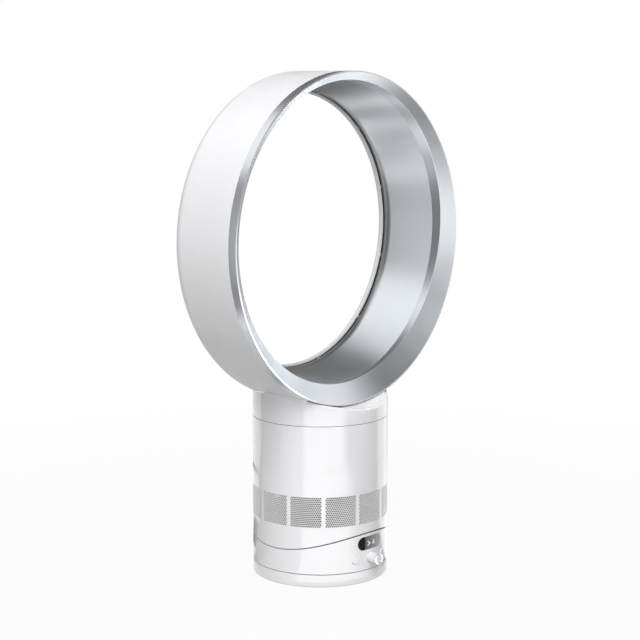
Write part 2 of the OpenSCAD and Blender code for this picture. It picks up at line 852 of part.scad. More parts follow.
// The inside of the impeller housing: an inlet, a cone and a duct
module housing_bore(shrink, z_top) {
    flare = 4;
    rotate_extrude() polygon([
        [0, inlet_z - 1], [inlet_r + flare - shrink, inlet_z - 1], [inlet_r - shrink, inlet_z + flare - 1],
        [inlet_r - shrink, inlet_z + 6], [duct_r - shrink, housing_flange_z],
        [duct_r - shrink, z_top], [0, z_top]]);
}

module impeller_housing() {
    color("lightgray") difference() {
        union() {
            intersection() {
                housing_bore(-housing_wall, housing_top);
                translate([0, 0, inlet_z]) cylinder(r = far, h = far);
            }
            translate([0, 0, housing_flange_z]) cylinder(r = inner_r - 1.5, h = 2.5);
        }
        housing_bore(0, housing_top + 1);
    }
}

module diffuser() {
    z0 = bucket_z + 8;
    h = 30;
    color("lightgray") {
        tube(bucket_r + 1.8, bucket_r, z0, z0 + h);
        intersection() {
            tube(duct_r, bucket_r + 1, z0, z0 + h);
            for (k = [0 : vanes - 1]) rotate([0, 0, 360 * k / vanes])
                translate([(duct_r + bucket_r) / 2, 0, z0 + h / 2]) rotate([24, 0, 0])
                    cube([duct_r, blade_t, h * 0.9], center = true);
        }
    }
}

module motor_bucket_lower() {
    color("gainsboro") difference() {
        union() {
            tube(bucket_r, stator_r, bucket_z, bucket_split);
            translate([0, 0, bucket_z]) cylinder(r = bucket_r - eps, h = bucket_floor_t);
            translate([0, 0, bucket_z]) cylinder(r = bearing_r + 3, h = bucket_floor_t + bearing_h);
        }
        translate([0, 0, bucket_z + bucket_floor_t]) cylinder(r = bearing_r, h = 20);
        translate([0, 0, bucket_z - 1]) cylinder(r = bearing_r - 2.5, h = 20);
    }
}

module motor_bucket_upper() {
    top = bucket_split + 18;
    shoulder = bucket_split + 6;
    color("gainsboro") rotate_extrude() difference() {
        polygon([[0, bucket_split], [bucket_r, bucket_split], [bucket_r, shoulder],
                 [bearing_r + 6, top], [0, top]]);
        polygon([[bearing_r + 3, bucket_split - 1], [stator_r, bucket_split - 1],
                 [stator_r, shoulder - 1], [bearing_r + 3, top - 3]]);
        translate([-1, bucket_split - 1]) square([bearing_r + 1, bearing_h + 1]);
        translate([-1, bucket_split]) square([shaft_r + 2, bearing_h + 3]);
    }
}

module motor_bearings() {
    color("silver") for (z = [bucket_z + bucket_floor_t, bucket_split])
        tube(bearing_r, shaft_r + shaft_play, z, z + bearing_h);
}

module driver_board() {
    z = bucket_z + bucket_floor_t;
    color("green") tube(stator_r - 2, bearing_r + 3.5, z, z + board_t);
}

module stator_core() {
    color("gray") translate([0, 0, stator_z]) linear_extrude(stator_h) difference() {
        union() {
            difference() {
                circle(r = stator_r);
                circle(r = stator_r - 4);
            }
            for (k = [0 : stator_teeth - 1]) rotate(360 * k / stator_teeth) {
                translate([pole_r + 1, -2.5]) square([stator_r - pole_r - 4, 5]);
                translate([pole_r - 0.5, -4.4]) square([3, 8.8]);
            }
        }
        circle(r = pole_r);
    }
}

module stator_windings() {
    color("peru") for (k = [0 : stator_teeth - 1]) rotate([0, 0, 360 * k / stator_teeth]) difference() {
        translate([pole_r + 3.2, -4, stator_z - 2.2]) cube([stator_r - pole_r - 8.4, 8, stator_h + 4.4]);
        translate([pole_r, -2.5, stator_z]) cube([stator_r, 5, stator_h]);
    }
}

module impeller() {
    tip_z = mover_z - 25;
    color("whitesmoke") {
        rotate_extrude() polygon([
            [shaft_r, hub_bottom], [12, hub_bottom], [20, hub_bottom + 12], [bucket_r - 1, hub_top_z],
            [bucket_r - 4, hub_top_z], [18, hub_bottom + 15], [10, hub_bottom + 12], [10, hub_top_z - 2],
            [shaft_r, hub_top_z - 2]]);
        intersection() {
            rotate_extrude() polygon([
                [11, hub_bottom + 0.5], [inlet_r - tip_gap, tip_z + 3],
                [inlet_r - tip_gap, mover_z - 28], [duct_r - tip_gap - 1, hub_top_z - 1],
                [bucket_r - 2, hub_top_z - 1], [19, hub_bottom + 12]]);
            for (k = [0 : blades - 1]) rotate([0, 0, 360 * k / blades]) intersection() {
                translate([36, 0, 0]) tube(30 + blade_t / 2, 30 - blade_t / 2, tip_z - 10, hub_top_z);
                translate([0, 0, tip_z - 10]) cube([80, 80, 80]);
            }
        }
    }
}

module impeller_nut() {
    color("silver") difference() {
        translate([0, 0, hub_bottom - 4]) cylinder(r = 5.5, h = 4, $fn = 6);
        translate([0, 0, hub_bottom - 5]) cylinder(r = shaft_r, h = 6);
    }
}

module motor_shaft() {
    color("silver") translate([0, 0, hub_bottom - 5])
        cylinder(r = shaft_r, h = bucket_split + bearing_h + 1 - hub_bottom + 5);
}

module rotor_magnet() {
    color("dimgray") tube(magnet_r, shaft_r, stator_z - 0.5, stator_z + stator_h + 0.5);
}

module outlet_seal() {
    color("dimgray") tube(duct_r + 4, duct_r, housing_top, neck_ledge_z);
}

module neck_ring() {
    color("gainsboro") {
        tube(inside_r, duct_r + 2, neck_ledge_z, neck_ledge_z + 2);
        tube(inside_r, inside_r - 3, neck_ledge_z + 2 - eps, neck_bottom + 9.5);
    }
}

module nozzle_seal() {
    color("dimgray") tube(inside_r, inside_r - 4, neck_bottom + 9.5, neck_bottom + 11.3);
}

// The neck's solid outline below the ring, with its top cut in front of the ring and behind it
module neck_outline(r, z0, front_r, back_r) {
    difference() {
        translate([0, 0, z0]) cylinder(r = r, h = ring_h - z0 - ring_r / 2);
        y_cylinder(ring_r - wall / 2, shell_front_y, back_y - back_edge_r, 0, ring_h);
        y_cylinder(front_r, -far, shell_front_y, 0, ring_h);
        y_cylinder(back_r, back_y - back_edge_r, far, 0, ring_h);
    }
}

// The way for the air from the neck up into the hollow of the ring
module neck_duct() {
    intersection() {
        translate([0, 0, neck_bottom - 5]) cylinder(r = inner_r, h = neck_duct_top - neck_bottom + 5);
        translate([-far, shell_front_y + ring_wall, 0])
            cube([2 * far, back_y - shell_front_y - 2 * ring_wall, far]);
    }
}

module nozzle_neck() {
    color("white") difference() {
        neck_outline(body_r, neck_bottom, saddle_top_r, neck_back_r);
        neck_outline(inner_r, neck_bottom - 5, neck_top_in, neck_back_r + ring_wall);
        ring_outline(ring_r + weld_gap, shell_front_y - weld_gap, back_y + weld_gap,
                     back_edge_r + weld_gap);
    }
}

// The solid shape of the ring's outside, with its rounded back edge
module ring_outline(r, y0, y1, edge_r) {
    turn_about_y(ring_h) intersection() {
        translate([0, y0]) square([r, y1 - y0]);
        union() {
            translate([0, y0 - 1]) square([r, y1 - edge_r - y0 + 1]);
            translate([0, y1 - edge_r - 1]) square([r - edge_r, edge_r + 1]);
            translate([r - edge_r, y1 - edge_r]) circle(r = edge_r);
        }
    }
}

// The core inside the back lip: what the lip's wall of a given thickness leaves open or keeps
module lip_core(grow) {
    edge = lip_edge_r - grow;
    centre_y = back_y - lip_edge_r;
    turn_about_y(inner_h) difference() {
        translate([0, lip_y]) square([lip_r + lip_edge_r, back_y + 5 - lip_y]);
        translate([lip_r + lip_edge_r, centre_y]) circle(r = edge);
        translate([lip_r + grow, lip_y - 1]) square([lip_edge_r * 2, centre_y - lip_y + 1]);
    }
}

module nozzle_outer_shell() {
    color("white") difference() {
        turn_about_y(ring_h) translate([ring_r - ring_wall, shell_front_y])
            square([ring_wall, back_seam_y - shell_front_y]);
        neck_duct();
    }
}

module nozzle_rear_shell() {
    color("white") difference() {
        ring_outline(ring_r, back_seam_y + weld_gap, back_y, back_edge_r);
        difference() {
            ring_outline(ring_r - ring_wall, back_seam_y - 1, back_y - ring_wall, back_edge_r - ring_wall);
            lip_core(ring_wall);
        }
        lip_core(0);
        neck_duct();
    }
}

module nozzle_inner_shell() {
    t = ring_wall - 0.5;
    front = [diffuser_front_r, -step_y];
    centre = [throat_r + coanda_r, throat_y];
    // The cone runs tangent into the curved lip surface, at this angle before the throat
    lead = asin(coanda_r / norm(centre - front)) - atan((centre[0] - front[0]) / (centre[1] - front[1]));
    inside = arc_points(centre, coanda_r, lead, -coanda_end);
    outside = arc_points(centre, coanda_r - t, -coanda_end, lead);
    front_out = front + outside[len(outside) - 1] - inside[0];
    color("silver") turn_about_y(inner_h) polygon(concat([front], inside, outside, [front_out]));
}

module nozzle_front_trim() {
    t = ring_wall - 0.3;
    face_in = ring_r - rim_w;
    reach = 40;
    tongue_out = ring_r - ring_wall - 0.1;
    tongue_in = tongue_out - 2;
    seam_y = shell_front_y - 0.3;
    color("silver") difference() {
        union() {
            // Outer band, rim, sloping face and the tongue that laps inside the outer shell
            turn_about_y(ring_h) polygon([
                [ring_r, seam_y], [ring_r, -rim_y + 0.4], [ring_r - 0.4, -rim_y], [face_in, -rim_y],
                [face_in - reach, -rim_y + reach * face_slope],
                [face_in - reach, -rim_y + reach * face_slope + 1.3 * t],
                [tongue_in, -rim_y + (face_in - tongue_in) * face_slope + 1.3 * t],
                [tongue_in, seam_y + 4], [tongue_out, seam_y + 4], [tongue_out, seam_y]]);
            // Step behind the face
            intersection() {
                turn_about_y(inner_h) translate([step_r - 2, -rim_y]) square([t + 2, rim_y - step_y]);
                turn_about_y(ring_h) polygon([
                    [face_in - reach, -rim_y + t / 2 + reach * face_slope], [face_in, -rim_y + t / 2],
                    [face_in, 0], [face_in - reach, 0]]);
            }
        }
        turn_about_y(inner_h) translate([0, -rim_y - 5]) square([step_r, 2 * rim_y]);
    }
}

module slot_spacers() {
    color("gainsboro") intersection() {
        turn_about_y(inner_h) difference() {
            translate([lip_r + ring_wall + weld_gap, lip_y + 0.3]) square([coanda_r, spacer_t]);
            translate([throat_r + coanda_r, throat_y]) circle(r = coanda_r);
        }
        for (k = [0 : spacers - 1]) translate([0, 0, inner_h]) rotate([0, 360 * (k + 0.5) / spacers, 0])
            translate([-spacer_w / 2, 0, 0]) cube([spacer_w, back_y, lip_r + ring_wall + 2]);
    }
}

foot_shell();
foot_pad();
cable_gland();
fixed_gear();
slide_ring();
pivot_washer();
pivot_screws();
turntable();
control_casing();
tilt_saddle();
base_screws();
display_window();
display_board();
control_board();
board_bracket();
speed_encoder();
button_switches();
power_board();
oscillation_motor();
oscillation_pinion();
speed_knob();
knob_ring();
encoder_shaft();
power_button();
oscillation_button();
tilt_carriage();
tilt_runner();
runner_screws();
carriage_screws();
body_shell();
intake_grille();
lower_foam();
isolation_seal();
impeller_housing();
diffuser();
motor_bucket_lower();
motor_bucket_upper();
driver_board();
stator_core();
stator_windings();
motor_bearings();
impeller();
impeller_nut();
motor_shaft();
rotor_magnet();
outlet_seal();
neck_ring();
nozzle_seal();
nozzle_neck();
nozzle_outer_shell();
nozzle_rear_shell();
nozzle_inner_shell();
nozzle_front_trim();
slot_spacers();
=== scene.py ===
"""Looks of the bladeless desk fan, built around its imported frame. Metres; the front is -Y and +Z is up."""

import json
import math

import bmesh
import bpy
from mathutils import Matrix, Vector


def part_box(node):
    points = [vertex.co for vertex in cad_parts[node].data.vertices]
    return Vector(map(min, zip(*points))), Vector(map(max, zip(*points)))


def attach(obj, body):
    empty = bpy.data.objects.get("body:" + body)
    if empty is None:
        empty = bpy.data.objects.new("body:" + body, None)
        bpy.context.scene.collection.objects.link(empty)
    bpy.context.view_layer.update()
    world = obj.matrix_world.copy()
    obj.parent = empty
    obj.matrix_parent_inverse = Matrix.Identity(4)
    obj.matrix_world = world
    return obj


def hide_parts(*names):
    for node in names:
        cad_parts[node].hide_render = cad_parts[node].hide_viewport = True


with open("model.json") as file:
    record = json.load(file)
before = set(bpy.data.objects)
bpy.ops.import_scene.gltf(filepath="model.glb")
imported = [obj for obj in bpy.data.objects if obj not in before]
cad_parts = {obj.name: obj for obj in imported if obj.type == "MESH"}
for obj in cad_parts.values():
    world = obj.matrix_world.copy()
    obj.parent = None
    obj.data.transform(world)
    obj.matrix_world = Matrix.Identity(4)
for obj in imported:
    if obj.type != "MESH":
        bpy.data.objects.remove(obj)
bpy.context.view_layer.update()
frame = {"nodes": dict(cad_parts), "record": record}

MM = 0.001

# Sizes that come from the frame
BODY_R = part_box("body_shell")[1].x
BODY_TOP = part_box("body_shell")[1].z
FOOT_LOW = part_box("foot_shell")[0].z
BASE_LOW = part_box("control_casing")[0].z
PAD_LOW, PAD_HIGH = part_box("foot_pad")
GLAND_LOW, GLAND_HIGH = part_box("cable_gland")
GRILLE_LOW, GRILLE_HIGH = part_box("intake_grille")
NECK_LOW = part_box("nozzle_neck")[0].z
TRIM_LOW, TRIM_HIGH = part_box("nozzle_front_trim")
INNER_LOW, INNER_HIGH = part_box("nozzle_inner_shell")
RING_R = TRIM_HIGH.x
RING_Z = (TRIM_LOW.z + TRIM_HIGH.z) / 2
INNER_Z = (INNER_LOW.z + INNER_HIGH.z) / 2
RIM_Y = TRIM_LOW.y
STEP_Y = INNER_LOW.y
SHELL_FRONT_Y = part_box("nozzle_outer_shell")[0].y
BACK_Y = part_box("nozzle_rear_shell")[1].y

# Casings
WALL = 2.5 * MM
WALL_IN_R = BODY_R - WALL
MOVING_SEAM = 0.8 * MM
FIT = 0.1 * MM
FOOT_SEAM_Z = BASE_LOW - MOVING_SEAM / 2
FOOT_FLOOR_T = 3 * MM
EDGE_R = 0.45 * MM
NECK_SEAM_EDGE_R = 0.2 * MM
FOOT_EDGE_R = 1.6 * MM
PAD_W = 12 * MM
PAD_EDGE_R = 0.8 * MM
TILT_Z = 218 * MM
TILT_R = 178 * MM

# Controls
DISPLAY_W = 37.2 * MM
DISPLAY_H = 14.5 * MM
DISPLAY_Z = 44.5 * MM
DISPLAY_T = 2 * MM
DISPLAY_EDGE_R = 0.4 * MM
CHEVRON_X, CHEVRON_Z, CHEVRON_W = -3.0 * MM, 43.9 * MM, 1.6 * MM
DIGIT_X, DIGIT_Z, DIGIT_W = 4.4 * MM, 44.2 * MM, 1.1 * MM
GLYPH_SUNK = 0.05 * MM
GLYPH_T = 0.07 * MM
CONTROLS_Z = 28 * MM
KNOB_R = 6 * MM
KNOB_PLAY = 0.3 * MM
KNOB_FRONT_Y = -BODY_R - 12 * MM
KNOB_BACK_Y = -BODY_R + 5 * MM
KNOB_FACE_R = 4.75 * MM
KNOB_FACE_SUNK = 0.25 * MM
KNOB_RING_IN_R = 4.8 * MM
KNOB_RING_OUT_R = KNOB_R + 0.2 * MM
KNOB_RING_FRONT_Y = KNOB_FRONT_Y - 0.4 * MM
KNOB_RING_BACK_Y = KNOB_FRONT_Y + 1.2 * MM
KNOB_AROUND = 72
BUTTON_AROUND = 64
BUTTON_X = 22 * MM
BUTTON_R = 4 * MM
BUTTON_PLAY = 0.2 * MM
BUTTON_OUT = 1.2 * MM
BUTTON_BACK = 2.2 * MM
BUTTON_EDGE_R = 0.7 * MM
BUTTON_DISH = 0.12 * MM
BUTTON_DISH_SHARE = 0.8

# Grille
PANELS = 12
PANEL_GAP = 3.6 * MM
PANEL_HALF = math.pi / PANELS - PANEL_GAP / 2 / BODY_R
PANEL_FIT = 0.03 * MM
PANEL_T = 1.2 * MM
HOLE_COLUMNS = 15
HOLE_ROWS = 16
HOLE_R = 0.92 * MM

# Ring
RING_WALL = 2.5 * MM
SHELL_EDGE_R = 0.25 * MM
BACK_EDGE_R = 16 * MM
REAR_CURVE_Y = BACK_Y - BACK_EDGE_R
LIP_R = 149 * MM
LIP_EDGE_R = 6 * MM
LIP_FRONT_Y = BACK_Y - LIP_EDGE_R - 1.4 * MM
RIM_W = 1.5 * MM
RIM_EDGE_R = 0.35 * MM
FACE_SLOPE = 0.82
STEP_R = 162.2 * MM
STEP_EDGE_R = 0.3 * MM
TRIM_T = 2.2 * MM
TRIM_T_ALONG_Y = 1.3 * TRIM_T
TRIM_SEAM = 0.3 * MM
TRIM_SEAM_EDGE_R = 0.2 * MM
INNER_T = 2 * MM
DIFFUSER_FRONT_R = 162.1 * MM
THROAT_R = 151.1 * MM
THROAT_Y = 29.9 * MM
COANDA_R = 20 * MM
COANDA_END = math.radians(32)

# Neck. Its angles are measured from the front
FRONT_END = math.acos(-SHELL_FRONT_Y / BODY_R)
BACK_START = math.radians(113)
BACK_END = math.radians(119)
SADDLE_R = RING_R + 0.8 * MM
NECK_BACK_R = RING_R - 5.5 * MM
NECK_EMBED_R = RING_R - 1 * MM
NECK_EDGE_R = 1.5 * MM
NECK_HIDDEN_EDGE_R = 0.3 * MM
NECK_FRONT_REACH = -SHELL_FRONT_Y - 1.2 * MM
NECK_BACK_REACH = 42.5 * MM
FILLET_START = FRONT_END + math.radians(0.5)
FILLET_THIN_FROM = math.radians(106)
FILLET_END = math.radians(124)
FILLET_R = 6 * MM
FILLET_LEAST_R = 0.3 * MM
FILLET_THINNED = 0.94
FILLET_SUNK = 1.2 * MM

# Meshes
AROUND = 288
SHELL_EDGE_STEPS = 3
BACK_CURVE_STEPS, BACK_CURVE_INSIDE_STEPS = 14, 8
COANDA_STEPS = 26
CONE_STEPS = 6
SHELF_STEPS = 5
SHARP_ANGLE = 32
WELD_DISTANCE = 1e-6
LEAST_EDGE = 1e-7
HAIR = 0.01 * MM
# How closely a face must look outward to count as part of a round wall
OUTWARD = 0.999


def smoothstep(a, b, x):
    t = min(max((x - a) / (b - a), 0), 1)
    return t * t * (3 - 2 * t)


# Outlines and lofts

def rounded_outline(corners, steps=5):
    """A closed outline from corners (x, y, radius). A corner with a radius becomes an arc of some steps."""
    points = []
    for i, (x, y, r) in enumerate(corners):
        if not r:
            points.append((x, y))
            continue
        here = Vector((x, y))
        before = (Vector(corners[i - 1][:2]) - here).normalized()
        after = (Vector(corners[(i + 1) % len(corners)][:2]) - here).normalized()
        half = before.angle(after) / 2
        centre = here + (before + after).normalized() * r / math.sin(half)
        start = here + before * r / math.tan(half) - centre
        turn = math.copysign(math.pi - 2 * half, start.x * after.y - start.y * after.x)
        for k in range(steps + 1):
            points.append(tuple(centre + Matrix.Rotation(turn * k / steps, 2) @ start))
    return points


def arc(cx, cy, r, start, end, steps):
    """Points along an arc, with its angles in radians."""
    return [(cx + r * math.cos(start + (end - start) * k / steps),
             cy + r * math.sin(start + (end - start) * k / steps)) for k in range(steps + 1)]


def quarter_round(r, steps=4):
    """A rounded edge as (way in from the side, way down from the top), from just above its foot."""
    angles = [math.pi / 2 * k / steps for k in range(1, steps + 1)]
    return [(r * (1 - math.cos(a)), r * (1 - math.sin(a))) for a in angles]


def even_angles(count=AROUND):
    return [2 * math.pi * k / count for k in range(count)]


def circle(r, count=48):
    return [(r * math.cos(a), r * math.sin(a)) for a in even_angles(count)]


def loft(sections, ring=True, caps=True):
    """Joins closed sections of equal length with quads. A ring also joins the last to the first."""
    count, size = len(sections), len(sections[0])
    verts = [p for section in sections for p in section]
    faces = []
    for i in range(count if ring else count - 1):
        for j in range(size):
            a, b = i * size + j, i * size + (j + 1) % size
            c, d = (i + 1) % count * size + (j + 1) % size, (i + 1) % count * size + j
            faces.append((a, b, c, d))
    if caps and not ring:
        faces.append(tuple(range(size))[::-1])
        faces.append(tuple(range((count - 1) * size, count * size)))
    return verts, faces


def about_z(outline_at, angles):
    """A ring about the Z axis from an outline of (radius, z) at each angle. Angle 0 is the front."""
    return loft([[(r * math.sin(a), -r * math.cos(a), z) for r, z in outline_at(a)] for a in angles])


def about_y(outline_at, centre_z, count=AROUND):
    """A ring about a level axis along Y from an outline of (radius, y) at each angle. Angle 0 is +X."""
    return loft([[(r * math.cos(a), y, centre_z + r * math.sin(a)) for r, y in outline_at(a)]
                 for a in even_angles(count)])


def along_y(outline, x, z, y_from, y_to):
    """A closed block along Y with an outline of (x, z) about a place."""
    return loft([[(x + u, y, z + v) for u, v in outline] for y in (y_from, y_to)], ring=False)


def block_faces(first):
    """The faces of a block from the index of its first point: four points at one end, then at the other."""
    sides = [(j, j + 4, (j + 1) % 4 + 4, (j + 1) % 4) for j in range(4)]
    return [tuple(first + k for k in face) for face in [(0, 1, 2, 3), (7, 6, 5, 4)] + sides]


# Objects

def new_object(name, data):
    obj = bpy.data.objects.new(name, data)
    bpy.context.scene.collection.objects.link(obj)
    return obj


def closed_mesh(name, mesh_data, weld=False):
    """A mesh from vertices and faces with its normals outward. Welding merges points that coincide."""
    verts, faces = mesh_data
    mesh = bpy.data.meshes.new(name)
    mesh.from_pydata(verts, [], faces)
    bm = bmesh.new()
    bm.from_mesh(mesh)
    if weld:
        bmesh.ops.remove_doubles(bm, verts=bm.verts, dist=WELD_DISTANCE)
        bmesh.ops.dissolve_degenerate(bm, dist=LEAST_EDGE, edges=bm.edges)
    bmesh.ops.recalc_face_normals(bm, faces=bm.faces)
    bm.to_mesh(mesh)
    bm.free()
    return mesh


def shade_smooth(mesh, sharp):
    """Smooth shading with a crease wherever faces meet at more than so many degrees."""
    mesh.polygons.foreach_set("use_smooth", [True] * len(mesh.polygons))
    mesh.set_sharp_from_angle(angle=math.radians(sharp))


def piece(name, mesh_data, body, material, nodes=(), sharp=SHARP_ANGLE):
    """Makes an object from vertices and faces, shades it and hangs it on its body."""
    mesh = closed_mesh(name, mesh_data, weld=True)
    shade_smooth(mesh, sharp)
    obj = new_object(name, mesh)
    mesh.materials.append(material)
    weighted = obj.modifiers.new("Weighted", "WEIGHTED_NORMAL")
    weighted.keep_sharp = True
    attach(obj, body)
    if nodes:
        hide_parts(*nodes)
    return obj


def cut(obj, *cutters):
    """Takes closed meshes (vertices, faces) out of an object."""
    for mesh_data in cutters:
        tool = new_object("cutter", closed_mesh("cutter", mesh_data))
        boolean = obj.modifiers.new("Cut", "BOOLEAN")
        boolean.object = tool
        boolean.solver = "EXACT"
        bpy.context.view_layer.update()
        graph = bpy.context.evaluated_depsgraph_get()
        obj.modifiers["Weighted"].show_viewport = False
        graph.update()
        result = bpy.data.meshes.new_from_object(obj.evaluated_get(graph))
        obj.modifiers["Weighted"].show_viewport = True
        obj.modifiers.remove(boolean)
        old, obj.data = obj.data, result
        bpy.data.meshes.remove(old)
        bpy.data.objects.remove(tool)
    shade_smooth(obj.data, SHARP_ANGLE)


def round_normals(obj, z_low, z_high):
    """Gives the outer wall of a round casing the exact normals of its cylinder, for clean reflections."""
    mesh = obj.data
    normals = [Vector((0, 0, 0))] * len(mesh.loops)
    for face in mesh.polygons:
        out = Vector((face.center.x, face.center.y, 0)).normalized()
        if face.normal.dot(out) < OUTWARD:
            continue
        for loop in face.loop_indices:
            at = mesh.vertices[mesh.loops[loop].vertex_index].co
            if z_low <= at.z <= z_high:
                normals[loop] = Vector((at.x, at.y, 0)).normalized()
    for modifier in list(obj.modifiers):
        obj.modifiers.remove(modifier)
    mesh.normals_split_custom_set(normals)


# Shader nodes

IOR = 1.5
COAT_ROUGHNESS = 0.04
# The part of a noise texture's range that it mostly fills
NOISE_LOW, NOISE_HIGH = 0.3, 0.7
# Sockets for colours on a Mix node, whose names it has more than once
MIX_A, MIX_B, MIX_RESULT = 6, 7, 2


def shader(name, colour, roughness, metallic=0.0, coat=0.0, specular=0.5):
    """A new material with a Principled shader. Returns it with its node tree and that shader."""
    material = bpy.data.materials.new(name)
    material.use_nodes = True
    tree = material.node_tree
    principled = tree.nodes["Principled BSDF"]
    principled.inputs["Base Color"].default_value = (*colour, 1)
    principled.inputs["Roughness"].default_value = roughness
    principled.inputs["Metallic"].default_value = metallic
    principled.inputs["IOR"].default_value = IOR
    principled.inputs["Specular IOR Level"].default_value = specular
    principled.inputs["Coat Weight"].default_value = coat
    principled.inputs["Coat Roughness"].default_value = COAT_ROUGHNESS
    return material, tree, principled


def map_range(tree, value, low, high, to_low=0, to_high=1, kind="LINEAR"):
    node = tree.nodes.new("ShaderNodeMapRange")
    node.interpolation_type = kind
    node.inputs["From Min"].default_value = low
    node.inputs["From Max"].default_value = high
    node.inputs["To Min"].default_value = to_low
    node.inputs["To Max"].default_value = to_high
    tree.links.new(value, node.inputs["Value"])
    return node.outputs["Result"]


def colour_ramp(tree, value, stops):
    """Turns a value into a colour by two or more stops of (position, colour)."""
    node = tree.nodes.new("ShaderNodeValToRGB")
    elements = node.color_ramp.elements
    for k, (position, colour) in enumerate(stops):
        # A new ramp already has two stops
        element = elements[k] if k < 2 else elements.new(position)
        element.position, element.color = position, (*colour, 1)
    tree.links.new(value, node.inputs["Fac"])
    return node.outputs["Color"]


def combine(tree, operation, a, b):
    node = tree.nodes.new("ShaderNodeMath")
    node.operation = operation
    tree.links.new(a, node.inputs[0])
    tree.links.new(b, node.inputs[1])
    return node.outputs[0]


def noise(tree, scale, detail=3.0, stretch=(1, 1, 1)):
    """A noise texture on the object's own coordinates, in cycles per metre."""
    place = tree.nodes.new("ShaderNodeTexCoord")
    mapping = tree.nodes.new("ShaderNodeMapping")
    mapping.inputs["Scale"].default_value = stretch
    texture = tree.nodes.new("ShaderNodeTexNoise")
    texture.inputs["Scale"].default_value = scale
    texture.inputs["Detail"].default_value = detail
    tree.links.new(place.outputs["Object"], mapping.inputs["Vector"])
    tree.links.new(mapping.outputs["Vector"], texture.inputs["Vector"])
    return texture.outputs["Fac"]


def share_along(tree, axis, start, end):
    """0 to 1 between two places along an axis of the object."""
    place = tree.nodes.new("ShaderNodeTexCoord")
    axes = tree.nodes.new("ShaderNodeSeparateXYZ")
    tree.links.new(place.outputs["Object"], axes.inputs["Vector"])
    return map_range(tree, axes.outputs[axis], start, end)


def shade(colour, by):
    return tuple(min(1, c * by) for c in colour)


def uneven_colour(tree, texture, colour, low, high):
    """A colour that a texture shades between two factors."""
    return colour_ramp(tree, texture, [(NOISE_LOW, shade(colour, low)), (NOISE_HIGH, shade(colour, high))])


def uneven_roughness(tree, principled, texture, roughness, low, high):
    """Lets a texture vary a roughness between two factors."""
    varied = map_range(tree, texture, NOISE_LOW, NOISE_HIGH, roughness * low, roughness * high)
    tree.links.new(varied, principled.inputs["Roughness"])


def bump(tree, principled, texture, height, strength=1.0):
    node = tree.nodes.new("ShaderNodeBump")
    node.inputs["Strength"].default_value = strength
    node.inputs["Distance"].default_value = height
    tree.links.new(texture, node.inputs["Height"])
    tree.links.new(node.outputs["Normal"], principled.inputs["Normal"])


# Materials

# Scales are in cycles per metre. Shades and gloss are factors on the colour and on the roughness
MOTTLE_SCALE = 28
MOULDED_GLOSS_SCALE, MOULDED_GLOSS = 70, (0.85, 1.2)
FLAKE_SCALE, FLAKE_SHADES = 4200, (0.975, 1.025)
LACQUER_COAT = 0.15
LACQUER_GLOSS_SCALE, LACQUER_GLOSS = 35, (0.95, 1.06)
LACQUER_GRAIN_SCALE, LACQUER_GRAIN_HEIGHT, LACQUER_GRAIN_STRENGTH = 5200, 2e-7, 0.25
TOOL_MARK_SCALE, TOOL_MARK_HEIGHT = 900, 6e-6
TOOL_MARK_SHADES, TOOL_MARK_GLOSS = (0.88, 1.05), (0.8, 1.3)
# How dark the painted shade in the inner silver's air slot makes its colour
PAINTED_SLOT_SHADE = 0.35
SMOKED = (0.004, 0.004, 0.005)
GLASS_ROUGHNESS, GLASS_COAT, GLASS_SPECULAR = 0.07, 0.12, 0.1
GLASS_GLOSS_SCALE, GLASS_GLOSS = 90, (6 / 7, 8.5 / 7)
# A painted reflection on the display's glass: colours by place from its left edge to its right one, black and
# then lighter greys towards the right
DISPLAY_PAINTED_REFLECTION_STOPS = [(0.255, SMOKED), (0.30, (0.14, 0.15, 0.15)), (0.72, (0.32, 0.335, 0.335)),
                 (1.0, (0.58, 0.58, 0.60))]


def moulded(name, colour, roughness, variation=0.03, grain=1800, height=4e-6, coat=0.0, specular=0.5):
    """Moulded plastic or rubber: a faint mottle, uneven gloss and a fine surface grain."""
    material, tree, principled = shader(name, colour, roughness, coat=coat, specular=specular)
    mottled = uneven_colour(tree, noise(tree, MOTTLE_SCALE, 4), colour, 1 - variation, 1 + variation)
    tree.links.new(mottled, principled.inputs["Base Color"])
    uneven_roughness(tree, principled, noise(tree, MOULDED_GLOSS_SCALE, 5), roughness, *MOULDED_GLOSS)
    bump(tree, principled, noise(tree, grain, 2), height)
    return material


def lacquer(name, colour, roughness, painted_shade_from=None, painted_shade_to=None):
    """Silver lacquer: fine metal flakes under a clear coat. It can take a painted shade that darkens it
    between two places along Y.
    """
    material, tree, principled = shader(name, colour, roughness, metallic=1.0, coat=LACQUER_COAT)
    flaked = uneven_colour(tree, noise(tree, FLAKE_SCALE, 2), colour, *FLAKE_SHADES)
    if painted_shade_to:
        # Painted shade: between two places along Y the colour darkens, standing in for the shade in the air
        # slot
        painted_shade_mix = tree.nodes.new("ShaderNodeMix")
        painted_shade_mix.data_type = "RGBA"
        tree.links.new(share_along(tree, "Y", painted_shade_from, painted_shade_to), painted_shade_mix.inputs["Factor"])
        tree.links.new(flaked, painted_shade_mix.inputs[MIX_A])
        painted_shade_mix.inputs[MIX_B].default_value = (*shade(colour, PAINTED_SLOT_SHADE), 1)
        flaked = painted_shade_mix.outputs[MIX_RESULT]
    tree.links.new(flaked, principled.inputs["Base Color"])
    uneven_roughness(tree, principled, noise(tree, LACQUER_GLOSS_SCALE, 4), roughness, *LACQUER_GLOSS)
    bump(tree, principled, noise(tree, LACQUER_GRAIN_SCALE, 1), LACQUER_GRAIN_HEIGHT, LACQUER_GRAIN_STRENGTH)
    return material


